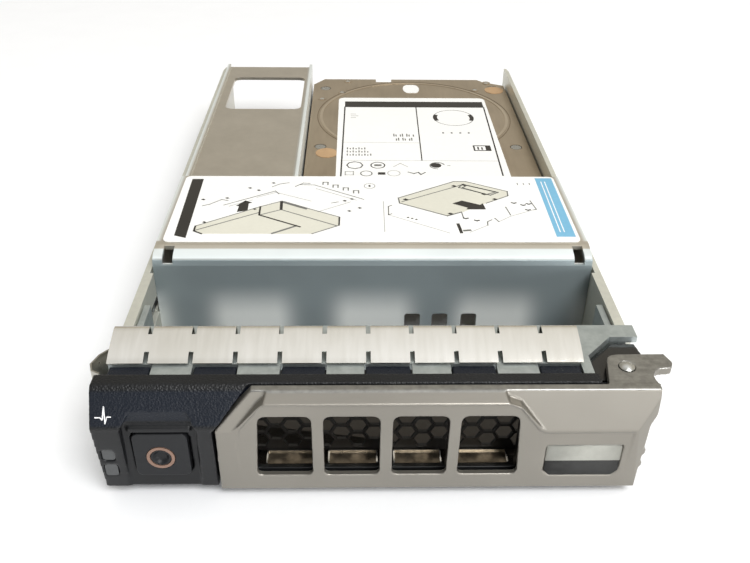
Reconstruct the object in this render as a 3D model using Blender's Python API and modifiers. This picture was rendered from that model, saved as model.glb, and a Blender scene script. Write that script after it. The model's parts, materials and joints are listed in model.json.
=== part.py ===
"""A 2.5-inch hard disk drive on its adapter bracket, in a 3.5-inch hot-swap carrier.

Every size is in millimetres, and MM turns it into Blender's metres. +X is right, +Y is towards the rear
connector and +Z is up. The origin is under the middle of the carrier, at its lowest point.
"""

import math

import bmesh
import bpy
from mathutils import Matrix, Vector

MM = 0.001
GAP = 0.3  # between neighbours that don't touch
SEAT = 0.05  # between a piece and what it rests on

# Carrier
RAIL_OUTER = 52.5
RAIL_INNER = 51.1
RAIL_FRONT_INNER = 50.3
RAIL_FRONT = -71.8
RAIL_BRACKET_FRONT = -46.5
RAIL_REAR = 94.0
RAIL_BOTTOM = 0.0
RAIL_TOP = 22.0
GUIDE_SLOT = (11.2, 15.8)
SLOT_Y = (-20.0, 10.0, 36.0)
RIVET_AT = (-64.0, 6.0)
PAN_HALF = 50.0
PAN_DEPTH = (-70.9, -45.2)
PAN_HEIGHT = (0.6, 1.4)

FRAME_FRONT = -87.1
FRAME_REAR = -71.2
FRAME_BOTTOM = 0.9
FRAME_TOP = 25.2
FRAME_WALL = 1.4
FRAME_LEFT = -50.1
FRAME_RIGHT = 40.4
FRAME_TAB_REAR = -58.0
CRENELS = ((-50.7, -42.9), (-34.7, -26.7), (-18.2, -10.0), (-2.3, 6.2), (14.1, 22.3), (30.8, 38.6))
CRENEL_REAR = -83.8

BEZEL_REAR = -87.4
BEZEL_PLATE_FRONT = -90.2
BEZEL_RIGHT = 43.6
BEZEL_TOP = 26.2
BEZEL_BOTTOM = 2.3
BEZEL_PROFILE = (
    (BEZEL_REAR, BEZEL_BOTTOM),
    (-92.7, BEZEL_BOTTOM),
    (-94.9, 19.5),
    (-91.2, 25.5),
    (-90.3, BEZEL_TOP),
    (BEZEL_REAR, BEZEL_TOP),
)
# The slope at the foot of each of the bezel's openings
SILL = ((-90.6, 4.95), (-87.0, 2.62), (-86.0, 2.62), (-86.0, 6.0), (-90.6, 6.0))
BUTTON_RECESS = ((-45.2, 22.4), (-35.2, 22.4), (-33.4, 18.8), (-34.2, -1.0), (-48.0, -1.0), (-47.3, 18.8))
BROW_X = (-46.2, -34.6)
BROW_Z = (17.5, 18.6)

# Honeycomb grille
SCREEN_X = (-25.8, 37.6)
SCREEN_Z = (2.5, 23.5)
SCREEN_Y = (-83.2, -82.5)
CELL_COLUMN = 3.3
CELL_ROW = 3.8
CELL_RADIUS = 1.9

# Shielding strip along the frame's roof
GASKET_LINE = (
    (-83.7, 25.55),
    (-82.3, 26.35),
    (-80.0, 27.15),
    (-77.5, 27.85),
    (-75.6, 28.25),
    (-74.9, 28.0),
    (-74.6, 27.2),
    (-74.8, 25.6),
)
GASKET_THICKNESS = 0.3
GASKET_X = (-51.2, 39.4)
FINGER_FIRST = -43.9
FINGER_PITCH = 8.42
FINGER_SLOTS = 10
SLOT_HALF_WIDTH = 0.45

# Light guides at the left
GUIDES = {"light_pipe_upper": (10.3, 13.2), "light_pipe_lower": (6.2, 9.1)}
GUIDE_BARS = {"light_pipe_upper": (14.2, 15.4), "light_pipe_lower": (11.6, 12.8)}

# Release lever, drawn shut; it swings about its pin
LEVER_BACK = -90.5
LEVER_BOTTOM = 2.1
LEVER_TOP = 26.1
LEVER_TOP_FRONT = -92.1
HOOD_CREASE = (-94.8, 24.9)
LABEL_CREASE = (-94.35, 17.8)
LEVER_FOOT = (-93.28, LEVER_BOTTOM)
# The hood over the windows, and the panel inside its edge, which leans back towards the top
HOOD_OUTLINE = (
    (-33.0, 0.0),
    (-33.0, 17.9),
    (-26.8, 18.0),
    (-22.1, 23.9),
    (-21.0, 24.9),
    (-19.5, 28.0),
    (22.0, 28.0),
    (23.6, 24.9),
    (26.0, 24.0),
    (30.4, 18.4),
    (31.8, 17.2),
    (33.6, 0.0),
)
PANEL_OUTLINE = (
    (-26.4, 2.0),
    (-26.4, 14.5),
    (-25.6, 18.4),
    (-21.9, 23.7),
    (-21.2, 24.5),
    (24.0, 24.5),
    (26.0, 23.4),
    (29.9, 17.9),
    (31.2, 17.3),
    (47.9, 17.3),
    (47.9, 2.0),
)
PANEL_FOOT = 6.0
PANEL_TOP = 25.0
PANEL_LEAN = 0.03
PIN = (47.1, -85.5)
PIN_RADIUS = 1.5
PIN_HOLE = 1.58
PIN_FOOT = 1.7
LUG_THICKNESS = 1.7
LUG_FLOOR = LEVER_BOTTOM + LUG_THICKNESS + GAP
WINDOWS = ((-23.0, -12.4), (-10.2, 0.3), (2.7, 13.1), (15.3, 26.8))
WINDOW_Z = (6.0, 21.4)
LABEL_RECESS = (31.8, 46.6, 5.4, 13.8)

# Release button and the latch that it moves
BUTTON_X = (-45.8, -35.5)
BUTTON_Z = (6.3, 16.9)
BUTTON_FRONT = -93.6
BUTTON_BACK = -90.7
BUTTON_FLOOR = -88.3
RING_CENTRE = (-40.9, 10.9)
LATCH_Z = (12.6, 14.8)
BUTTON_SPRING = (-40.6, 9.2)

# Adapter bracket
BRACKET_HALF = 50.8
SHEET = 1.0
BRACKET_FRONT = -44.7
PLATE_FRONT = -39.5
PLATE_REAR = -3.5
PLATE_TOP = 25.6
DECK_TOP = 22.5
DECK_RIGHT = -20.0
RIM_TOP = 23.6
BRACKET_REAR = 93.0
BRACKET_BOTTOM = 0.8
BRACKET_LABEL = (-49.4, 49.2, -38.9, -4.3)
DECK_HOLE = (-47.0, -22.2, 52.0, 82.0)
WALL_SLOTS = (9.4, 16.0, 23.0)

# Side screws: which side, and where along the rail
SCREW_Z = 8.35
DRIVE_SCREW_Z = 8.6
BRACKET_SCREWS = {"bracket_screw_1": (-1, -35.1), "bracket_screw_2": (-1, 66.5),
                  "bracket_screw_3": (1, -35.1)}
DRIVE_SCREWS = {"drive_screw_1": (-1, 4.6), "drive_screw_2": (-1, 81.2), "drive_screw_3": (1, 4.6),
                "drive_screw_4": (1, 81.2)}
SCREWS_AT = {"left_rail": (-35.1, 66.5), "right_rail": (-35.1, 4.6, 81.2)}

# Drive
DRIVE_LEFT = -19.4
DRIVE_RIGHT = 50.6
DRIVE_FRONT = -5.4
DRIVE_REAR = 95.0
DRIVE_BOTTOM = 2.3
DRIVE_LABEL = (-10.0, 41.5, 3.0, 75.6)
DRIVE_TOP = 17.3
BASE_TOP = 15.6
BASE_UNDERSIDE = 4.6
CAVITY_FLOOR = 7.2
BASE_WALL = 2.0
SPINDLE = (15.6, 59.5)
PLATTER_RADIUS = 32.5
PLATTER_BORE = 10.2
PLATTER_THICKNESS = 0.6
PLATTER_Z = (8.6, 11.0, 13.4)
PIVOT = (30.0, 16.0)
ARM_LENGTH = 37.0
PARK_ANGLE = 155.2
ARM_SWEEP = 31.0
ARM_Z = ((9.7, 10.5), (12.1, 12.9))
CONNECTOR_X = (0.0, 43.0)
COVER_SCREWS = ((46.4, 34.0), (-15.2, 34.0), (46.2, 86.6), (-15.0, 85.4), (-16.4, -2.4), (47.6, -2.4))

# Colour, metallic, roughness
FINISHES = {
    "black_plastic": ((0.012, 0.013, 0.015), 0.0, 0.5),
    "grey_lever": ((0.30, 0.285, 0.26), 0.6, 0.4),
    "zinc": ((0.52, 0.55, 0.54), 0.9, 0.35),
    "bright_nickel": ((0.75, 0.73, 0.70), 1.0, 0.15),
    "rail_steel": ((0.60, 0.60, 0.55), 0.8, 0.4),
    "galvanised": ((0.55, 0.58, 0.58), 0.9, 0.35),
    "dark_steel": ((0.03, 0.03, 0.032), 0.7, 0.5),
    "screw_steel": ((0.55, 0.55, 0.56), 1.0, 0.25),
    "spring_steel": ((0.35, 0.34, 0.33), 1.0, 0.3),
    "copper": ((0.55, 0.22, 0.10), 0.6, 0.4),
    "clear_plastic": ((0.45, 0.48, 0.48), 0.0, 0.25),
    "label_white": ((0.82, 0.83, 0.82), 0.0, 0.45),
    "label_grey": ((0.45, 0.45, 0.45), 0.3, 0.35),
    "cast_base": ((0.42, 0.42, 0.42), 0.8, 0.45),
    "bronze_cover": ((0.34, 0.28, 0.22), 0.85, 0.35),
    "platter_mirror": ((0.80, 0.80, 0.82), 1.0, 0.03),
    "aluminium": ((0.70, 0.70, 0.71), 1.0, 0.3),
    "magnet_plate": ((0.45, 0.45, 0.46), 1.0, 0.3),
    "board_green": ((0.02, 0.10, 0.05), 0.0, 0.4),
    "seal_rubber": ((0.02, 0.02, 0.02), 0.0, 0.7),
    "ramp_plastic": ((0.75, 0.72, 0.62), 0.0, 0.5),
}

PLANES = {
    "XY": Matrix(((1, 0, 0), (0, 1, 0), (0, 0, 1))),
    "XZ": Matrix(((1, 0, 0), (0, 0, -1), (0, 1, 0))),
    "YZ": Matrix(((0, 0, 1), (1, 0, 0), (0, 1, 0))),
}
NORMALS = {"XY": Vector((0, 0, 1)), "XZ": Vector((0, 1, 0)), "YZ": Vector((1, 0, 0))}
AXES = {"X": NORMALS["YZ"], "Y": NORMALS["XZ"], "Z": NORMALS["XY"]}

for old in list(bpy.data.objects):
    bpy.data.objects.remove(old, do_unlink=True)

parts = bpy.data.collections.new("hard_disk_drive")
cutters = bpy.data.collections.new("cutters")
for collection in (parts, cutters):
    bpy.context.scene.collection.children.link(collection)


# ---- tools ----------------------------------------------------------------------------------------------

def finish_material(slot):
    """The Principled material of one finish."""
    material = bpy.data.materials.get(slot)
    if material is None:
        colour, metallic, roughness = FINISHES[slot]
        material = bpy.data.materials.new(slot)
        material.use_nodes = True
        shader = material.node_tree.nodes["Principled BSDF"]
        shader.inputs["Base Color"].default_value = (*colour, 1.0)
        shader.inputs["Metallic"].default_value = metallic
        shader.inputs["Roughness"].default_value = roughness
    return material


def place(name, mesh, slot):
    """Links a mesh as a part with its material, or as a hidden cutter where it has no slot."""
    piece = bpy.data.objects.new(name, mesh)
    if slot:
        parts.objects.link(piece)
        mesh.materials.append(finish_material(slot))
    else:
        cutters.objects.link(piece)
        piece.hide_render = True
        piece.display_type = "WIRE"
    return piece


def circle(x, y, radius, count=24, start=0.0, turn=360.0):
    """Points round a circle, or along an arc of it, in degrees."""
    whole = abs(turn) >= 360.0
    steps = count if whole else count - 1
    angles = [math.radians(start + turn * i / steps) for i in range(count)]
    return [(x + radius * math.cos(a), y + radius * math.sin(a)) for a in angles]


def rounded(x0, x1, y0, y1, radius, count=4):
    """A rectangle with round corners, anticlockwise."""
    corners = (
        (x1 - radius, y1 - radius, 0),
        (x0 + radius, y1 - radius, 90),
        (x0 + radius, y0 + radius, 180),
        (x1 - radius, y0 + radius, 270),
    )
    points = []
    for x, y, start in corners:
        points += circle(x, y, radius, count, start, 90.0)
    return points


def span(side, inner, outer):
    """Low and high ends of a stretch from inner to outer, on the right or, for a side of -1, on the left."""
    return (inner, outer) if side > 0 else (-outer, -inner)


def rectangle(x0, x1, y0, y1):
    return [(x0, y0), (x1, y0), (x1, y1), (x0, y1)]


def from_curve(curve, slot, merge=1e-6):
    """The mesh object of a curve object, with its caps welded."""
    graph = bpy.context.evaluated_depsgraph_get()
    mesh = bpy.data.meshes.new_from_object(curve.evaluated_get(graph))
    shape = bmesh.new()
    shape.from_mesh(mesh)
    bmesh.ops.remove_doubles(shape, verts=shape.verts, dist=merge)
    bmesh.ops.recalc_face_normals(shape, faces=shape.faces)
    shape.to_mesh(mesh)
    shape.free()
    mesh.materials.clear()
    name = curve.name
    matrix = curve.matrix_world.copy()
    bpy.data.objects.remove(curve, do_unlink=True)
    piece = place(name, mesh, slot)
    piece.matrix_world = matrix
    return piece


def plate(name, slot, plane, start, end, outline, holes=()):
    """A flat outline with holes, in a plane, thick from start to end along the plane's normal."""
    data = bpy.data.curves.new(name, "CURVE")
    data.dimensions = "2D"
    data.fill_mode = "BOTH"
    data.extrude = abs(end - start) / 2 * MM
    for loop in (outline, *holes):
        spline = data.splines.new("POLY")
        spline.points.add(len(loop) - 1)
        for point, (x, y) in zip(spline.points, loop):
            point.co = (x * MM, y * MM, 0, 1)
        spline.use_cyclic_u = True
    curve = bpy.data.objects.new(name, data)
    bpy.context.scene.collection.objects.link(curve)
    middle = NORMALS[plane] * (start + end) / 2 * MM
    curve.matrix_world = Matrix.Translation(middle) @ PLANES[plane].to_4x4()
    bpy.context.view_layer.update()
    return from_curve(curve, slot)


def box(name, slot, x, y, z):
    """A box from its low and high corners along each axis."""
    size = Vector((x[1] - x[0], y[1] - y[0], z[1] - z[0])) * MM
    middle = Vector((x[0] + x[1], y[0] + y[1], z[0] + z[1])) / 2 * MM
    shape = bmesh.new()
    bmesh.ops.create_cube(shape, size=1.0, matrix=Matrix.Diagonal((*size, 1.0)))
    mesh = bpy.data.meshes.new(name)
    shape.to_mesh(mesh)
    shape.free()
    piece = place(name, mesh, slot)
    piece.location = middle
    return piece


def rod(name, slot, axis, centre, radius, start, end, count=24, far_radius=None):
    """A cylinder, or a cone with far_radius, about an axis through centre, from start to end along it."""
    direction = AXES[axis]
    shape = bmesh.new()
    bmesh.ops.create_cone(
        shape,
        cap_ends=True,
        segments=count,
        radius1=radius * MM,
        radius2=(radius if far_radius is None else far_radius) * MM,
        depth=(end - start) * MM,
    )
    mesh = bpy.data.meshes.new(name)
    shape.to_mesh(mesh)
    shape.free()
    piece = place(name, mesh, slot)
    turn = Vector((0, 0, 1)).rotation_difference(direction)
    across = Vector(centre) - direction * Vector(centre).dot(direction)
    piece.location = (across + direction * (start + end) / 2) * MM
    piece.rotation_mode = "QUATERNION"
    piece.rotation_quaternion = turn
    smooth(piece)
    return piece


def turned(name, slot, centre, profile, count=24):
    """A turned shape: a closed profile of (radius, z), from top to bottom, about a vertical axis."""
    shape = bmesh.new()
    corners = [shape.verts.new((r * MM, 0, z * MM)) for r, z in profile]
    touches_axis = profile[0][0] == 0 and profile[-1][0] == 0
    for first, second in zip(corners, corners[1:]):
        shape.edges.new((first, second))
    if not touches_axis:
        shape.edges.new((corners[-1], corners[0]))
    mesh = bpy.data.meshes.new(name)
    shape.to_mesh(mesh)
    shape.free()
    piece = place(name, mesh, slot)
    piece.location = (centre[0] * MM, centre[1] * MM, 0)
    screw = piece.modifiers.new("turn", "SCREW")
    screw.steps = screw.render_steps = count
    screw.use_merge_vertices = True
    screw.merge_threshold = 1e-6
    screw.use_smooth_shade = True
    return piece


def coil(name, slot, start, axis, radius, wire, length, turns, per_turn=12):
    """A helical spring of round wire along an axis from start."""
    direction = AXES[axis]
    turn = Vector((0, 0, 1)).rotation_difference(direction).to_matrix().to_4x4()
    data = bpy.data.curves.new(name, "CURVE")
    data.dimensions = "3D"
    data.bevel_depth = wire / 2 * MM
    data.bevel_resolution = 2
    data.use_fill_caps = True
    count = int(turns * per_turn) + 1
    spline = data.splines.new("POLY")
    spline.points.add(count - 1)
    for i, point in enumerate(spline.points):
        angle = 2 * math.pi * i / per_turn
        height = length * i / (count - 1)
        point.co = (radius * math.cos(angle) * MM, radius * math.sin(angle) * MM, height * MM, 1)
    curve = bpy.data.objects.new(name, data)
    bpy.context.scene.collection.objects.link(curve)
    curve.matrix_world = Matrix.Translation(Vector(start) * MM) @ turn
    bpy.context.view_layer.update()
    piece = from_curve(curve, slot)
    smooth(piece)
    return piece


def smooth(piece, angle=40.0):
    piece.data.shade_smooth()
    piece.data.set_sharp_from_angle(angle=math.radians(angle))


def boolean(piece, operation, tools):
    for tool in tools:
        if tool.name in parts.objects:
            parts.objects.unlink(tool)
            cutters.objects.link(tool)
            tool.hide_render = True
            tool.display_type = "WIRE"
        modifier = piece.modifiers.new(f"{operation.lower()} {tool.name}", "BOOLEAN")
        modifier.operation = operation
        modifier.object = tool
        modifier.solver = "EXACT"
    return piece


def cut(piece, *tools):
    return boolean(piece, "DIFFERENCE", tools)


def join(piece, *tools):
    return boolean(piece, "UNION", tools)


def hinge_on(name, x, y, *children):
    """An empty on a vertical joint axis, with the pieces that turn about it."""
    empty = bpy.data.objects.new(name, None)
    parts.objects.link(empty)
    empty.location = (x * MM, y * MM, 0)
    bpy.context.view_layer.update()
    for child in children:
        placed = child.matrix_world.copy()
        child.parent = empty
        child.matrix_parent_inverse = empty.matrix_world.inverted()
        child.matrix_world = placed
    return empty


def strip_section(centre_line, thickness):
    """The closed outline of a bent sheet of even thickness, from the line along its middle."""
    sides = ([], [])
    last = len(centre_line) - 1
    for i, (x, y) in enumerate(centre_line):
        ahead = Vector(centre_line[min(i + 1, last)]) - Vector((x, y))
        behind = Vector((x, y)) - Vector(centre_line[max(i - 1, 0)])
        along = (ahead.normalized() if ahead.length else behind.normalized()) + (
            behind.normalized() if behind.length else ahead.normalized()
        )
        along.normalize()
        normal = Vector((-along.y, along.x)) * thickness / 2
        sides[0].append((x + normal.x, y + normal.y))
        sides[1].append((x - normal.x, y - normal.y))
    return sides[0] + sides[1][::-1]


# ---- carrier --------------------------------------------------------------------------------------------

def build_rail(side):
    """A side rail, thicker in front of the bracket, with air slots and the holes for its screw heads."""
    name = "right_rail" if side > 0 else "left_rail"
    plan = [
        (side * RAIL_INNER, RAIL_REAR),
        (side * (RAIL_OUTER - 0.6), RAIL_REAR),
        (side * RAIL_OUTER, RAIL_REAR - 3.0),
        (side * RAIL_OUTER, RAIL_FRONT),
        (side * RAIL_FRONT_INNER, RAIL_FRONT),
        (side * RAIL_FRONT_INNER, RAIL_BRACKET_FRONT),
        (side * RAIL_INNER, RAIL_BRACKET_FRONT),
    ]
    rail = plate(name, "rail_steel", "XY", RAIL_BOTTOM, RAIL_TOP, plan)
    across = span(side, 49.0, 54.0)
    cuts = []
    for i, y in enumerate(SLOT_Y):
        slot = rounded(y, y + 14.0, 4.0, 7.0, 1.4, 3)
        cuts.append(plate(f"{name}_slot_{i + 1}", None, "YZ", *across, slot))
    for i, y in enumerate(SCREWS_AT[name]):
        cuts.append(rod(f"{name}_hole_{i + 1}", None, "X", (0, y, SCREW_Z), 2.9, *across, count=16))
    cuts.append(rod(f"{name}_rivet_hole", None, "X", (0, *RIVET_AT), 1.6, *across, count=16))
    if side < 0:
        slot = rounded(-80.0, 90.5, *GUIDE_SLOT, 0.6, 3)
        cuts.append(plate("guide_slot", None, "YZ", *across, slot))
    return cut(rail, *cuts)


def build_rivet(side):
    """The rivet that holds a rail to the front frame's tab."""
    name = "right_rivet" if side > 0 else "left_rivet"
    return build_screw(name, "screw_steel", "X", (0, *RIVET_AT), 2.4, 1.5, side * 52.3, side * 48.6,
                       side * 47.9)


def build_front_frame():
    """The open zinc frame: roof, floor and two side walls, notched for the bezel's clips."""
    roof_plan = [
        (-51.0, FRAME_REAR),
        (-51.0, FRAME_FRONT),
        (40.9, FRAME_FRONT),
        (40.9, -81.1),
        (46.5, -75.2),
        (52.2, -75.2),
        (52.2, FRAME_REAR),
    ]
    frame = plate("front_frame", "zinc", "XY", FRAME_TOP - FRAME_WALL, FRAME_TOP, roof_plan)
    floor_plan = [
        (FRAME_LEFT, FRAME_REAR),
        (FRAME_LEFT, FRAME_FRONT),
        (40.9, FRAME_FRONT),
        (40.9, -81.1),
        (46.5, -75.2),
        (50.05, -75.2),
        (50.05, FRAME_REAR),
    ]
    floor = plate("frame_floor", None, "XY", FRAME_BOTTOM, FRAME_BOTTOM + FRAME_WALL, floor_plan)
    inside = 0.5
    height = (FRAME_BOTTOM + inside, FRAME_TOP - inside)
    depth = (FRAME_FRONT + SEAT, FRAME_REAR - SEAT)
    left = box("frame_left_wall", None, (FRAME_LEFT + 0.01, FRAME_LEFT + FRAME_WALL), depth, height)
    right = box("frame_right_wall", None, (FRAME_RIGHT - FRAME_WALL, FRAME_RIGHT), depth, height)
    corner_x = (-FRAME_LEFT - FRAME_WALL, -FRAME_LEFT - 0.01)
    corner = box("frame_corner_wall", None, corner_x, (-75.15, FRAME_REAR - 0.02), height)
    tab_depth = (FRAME_REAR - 0.5, FRAME_TAB_REAR)
    tab_height = (FRAME_BOTTOM + 1.0, RAIL_TOP - 1.0)
    left_tab = box("frame_left_tab", None, (FRAME_LEFT + 0.02, FRAME_LEFT + FRAME_WALL - 0.02), tab_depth,
                   tab_height)
    tab_x = (-FRAME_LEFT - FRAME_WALL + 0.02, -FRAME_LEFT - 0.02)
    right_tab = box("frame_right_tab", None, tab_x, tab_depth, tab_height)
    join(frame, floor, left, right, corner, left_tab, right_tab)
    notches = []
    for i, (x0, x1) in enumerate(CRENELS):
        across = (x0 - GAP, x1 + GAP)
        depth = (FRAME_FRONT - 1.0, CRENEL_REAR + GAP)
        notches.append(box(f"frame_notch_{i + 1}", None, across, depth, (21.0, 27.0)))
    for side in (-1, 1):
        notches.append(rod(f"frame_rivet_hole_{side + 2}", None, "X", (0, *RIVET_AT), 1.6,
                           *span(side, 47.0, 53.0),
                           count=16))
    return cut(frame, *notches)


def lever_clearance():
    """The pocket in the bezel's face that the lever shuts into."""
    points = [(-30.9, -3.0), (-30.6, 18.3), (-23.7, 26.3), (-23.7, 30.0), (60.0, 30.0), (60.0, -3.0)]
    return plate("lever_pocket", None, "XZ", -100.0, BEZEL_PLATE_FRONT, points)


def build_bezel():
    """The black front: the sloped block at the left, and the plate behind the lever."""
    bezel = plate("bezel", "black_plastic", "YZ", -RAIL_OUTER, BEZEL_RIGHT, BEZEL_PROFILE)
    clips = []
    for i, (x0, x1) in enumerate(CRENELS):
        clips.append(box(f"bezel_clip_{i + 1}", None, (x0, x1), (BEZEL_REAR - 0.5, CRENEL_REAR),
                         (22.6, 25.0)))
    join(bezel, *clips)
    cuts = [lever_clearance()]
    cuts.append(box("lug_clearance", None, (41.4, 54.0), (-96.0, -80.0), (23.9, 30.0)))
    cuts.append(box("lower_lug_clearance", None, (41.4, 54.0), (-96.0, -80.0), (-2.0, LUG_FLOOR)))
    for i, (x0, x1) in enumerate(WINDOWS):
        opening = rectangle(x0 - 0.6, x1 + 0.6, 4.7, 23.2)
        cuts.append(plate(f"bezel_window_{i + 1}", None, "XZ", -96.0, -80.0, opening))
        cuts.append(plate(f"bezel_sill_{i + 1}", None, "YZ", x0 - 0.55, x1 + 0.55, SILL))
    recess = plate("button_recess", None, "XZ", -99.0, -91.5, BUTTON_RECESS)
    recess_floor = [(-92.2, -3.0), (-93.3, 23.0), (-80.0, 23.0), (-80.0, -3.0)]
    cut(recess, plate("recess_floor", None, "YZ", -60.0, -20.0, recess_floor))
    cuts.append(recess)
    well = rounded(BUTTON_X[0] - GAP, BUTTON_X[1] + GAP, BUTTON_Z[0] - GAP, BUTTON_Z[1] + GAP, 1.5, 3)
    cuts.append(plate("button_well", None, "XZ", -99.0, BUTTON_FLOOR, well))
    stem = rectangle(-42.3, -37.0, LATCH_Z[0] - GAP, LATCH_Z[1] + GAP)
    cuts.append(plate("stem_slot", None, "XZ", -90.0, -86.0, stem))
    catch = rectangle(-30.6, -25.9, LATCH_Z[0] - 0.5, LATCH_Z[1] + 0.5)
    cuts.append(plate("catch_slot", None, "XZ", -94.0, -86.0, catch))
    for name, (z0, z1) in GUIDES.items():
        opening = rounded(-51.9, -49.3, z0 - 0.1, z1 + 0.1, 0.5, 3)
        cuts.append(plate(f"{name}_hole", None, "XZ", -99.0, -86.0, opening))
    cuts.append(box("guide_exit", None, (-54.0, -49.3), (-89.4, -86.0), (6.0, 15.9)))
    cut(bezel, *cuts)
    return join(bezel, box("button_brow", None, BROW_X, (-93.8, -92.0), BROW_Z))


def build_light_pipe(name):
    """A clear guide: a window head in the bezel, a slope, and a bar along the left rail."""
    low, high = GUIDES[name]
    bar_low, bar_high = GUIDE_BARS[name]
    side = [
        (-93.2, low),
        (-88.5, low),
        (-80.0, bar_low),
        (90.2, bar_low),
        (90.2, bar_high),
        (-80.0, bar_high),
        (-88.5, high),
        (-93.2, high),
    ]
    pipe = plate(name, "clear_plastic", "YZ", -52.2, -51.35, side)
    head = plate(f"{name}_head", None, "XZ", -93.4, -88.8, rounded(-51.8, -49.4, low, high, 0.5, 3))
    # The bar's front end is cut back where the head takes over.
    trim = box(f"{name}_trim", None, (-53.0, -51.3), (-95.0, -89.0), (0.0, 20.0))
    cut(pipe, trim)
    return join(pipe, head)


def build_floor_pan():
    """The dark sheet that joins the rails under the gap between the frame and the bracket."""
    return box("floor_pan", "dark_steel", (-PAN_HALF, PAN_HALF), PAN_DEPTH, PAN_HEIGHT)


def build_hinge_housing():
    """The moulded block under the lug, with the pin's bore and an open pocket for the lever's spring."""
    plan = [(BEZEL_RIGHT + GAP, BEZEL_PLATE_FRONT)]
    plan += circle(*PIN, 4.7, 6, -90.0, 60.0)
    plan += [(52.3, -84.9), (52.4, -80.5), (51.6, -75.6), (46.8, -75.6), (41.3, -81.2), (41.3, -87.1),
             (BEZEL_RIGHT + GAP, -87.1)]
    housing = plate("hinge_housing", "black_plastic", "XY", LUG_FLOOR, 23.9, plan)
    bore = rod("pin_bore", None, "Z", (*PIN, 0), PIN_HOLE, -2.0, 30.0)
    pocket = rod("spring_pocket", None, "Z", (*PIN, 0), 3.4, 9.6, 17.4)
    mouth = box("pocket_mouth", None, (44.6, 47.3), (-95.0, -85.6), (9.6, 17.4))
    return cut(housing, bore, pocket, mouth)


def build_vent_screen():
    """The honeycomb grille behind the windows."""
    holes = []
    edge = 2.2
    columns = int((SCREEN_X[1] - SCREEN_X[0] - edge) / CELL_COLUMN)
    for i in range(columns):
        x = SCREEN_X[0] + edge + CELL_COLUMN * i
        rows = 5 if i % 2 == 0 else 4
        for j in range(rows):
            z = SCREEN_Z[0] + 2.7 + CELL_ROW * (j + 0.5 * (i % 2))
            holes.append(circle(x, z, CELL_RADIUS, 6))
    return plate("vent_screen", "dark_steel", "XZ", *SCREEN_Y, rectangle(*SCREEN_X, *SCREEN_Z), holes)


def build_emi_gasket():
    """The arched strip of spring fingers, slotted from both edges."""
    section = strip_section(GASKET_LINE, GASKET_THICKNESS)
    gasket = plate("emi_gasket", "bright_nickel", "YZ", *GASKET_X, section)
    slots = []
    for i in range(FINGER_SLOTS):
        x = FINGER_FIRST + FINGER_PITCH * i
        for end, (y0, y1) in (("front", (-86.0, -81.4)), ("rear", (-77.3, -73.0))):
            outline = rounded(x - SLOT_HALF_WIDTH, x + SLOT_HALF_WIDTH, y0, y1, 0.4, 3)
            slots.append(plate(f"finger_slot_{end}_{i + 1}", None, "XY", 24.0, 30.0, outline))
    return cut(gasket, *slots)


def build_ground_spring():
    """The contact leaf that bulges out at the carrier's left."""
    line = (
        (-50.4, -78.5),
        (-50.4, -74.4),
        (-51.2, -73.3),
        (-52.9, -73.7),
        (-55.0, -76.2),
        (-55.98, -79.0),
        (-55.3, -81.0),
        (-53.6, -81.9),
    )
    return plate("ground_spring", "spring_steel", "XY", 16.4, 21.8, strip_section(line, 0.4))


# ---- lever, button and latch ----------------------------------------------------------------------------

def hood_front(z):
    """The lever's front face: its Y at a height."""
    foot_y, foot_z = LEVER_FOOT
    crease_y, crease_z = HOOD_CREASE
    return foot_y + (crease_y - foot_y) * (z - foot_z) / (crease_z - foot_z)


def panel_recess():
    """What is cut from the face inside the hood's edge, so that the panel leans back from its foot."""
    faces = []
    for z in (PANEL_FOOT - 2.0, PANEL_TOP):
        faces.append((hood_front(z) + PANEL_LEAN * (z - PANEL_FOOT), z))
    (low_y, low_z), (high_y, high_z) = faces
    section = [(low_y, low_z), (high_y, high_z), (-97.0, high_z), (-97.0, low_z)]
    wedge = plate("panel_wedge", None, "YZ", -30.0, 50.0, section)
    trim = box("panel_trim", None, (-60.0, 60.0), (-110.0, -80.0), (-10.0, 40.0))
    cut(trim, plate("panel_outline", None, "XZ", -112.0, -78.0, PANEL_OUTLINE))
    return cut(wedge, trim)


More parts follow.
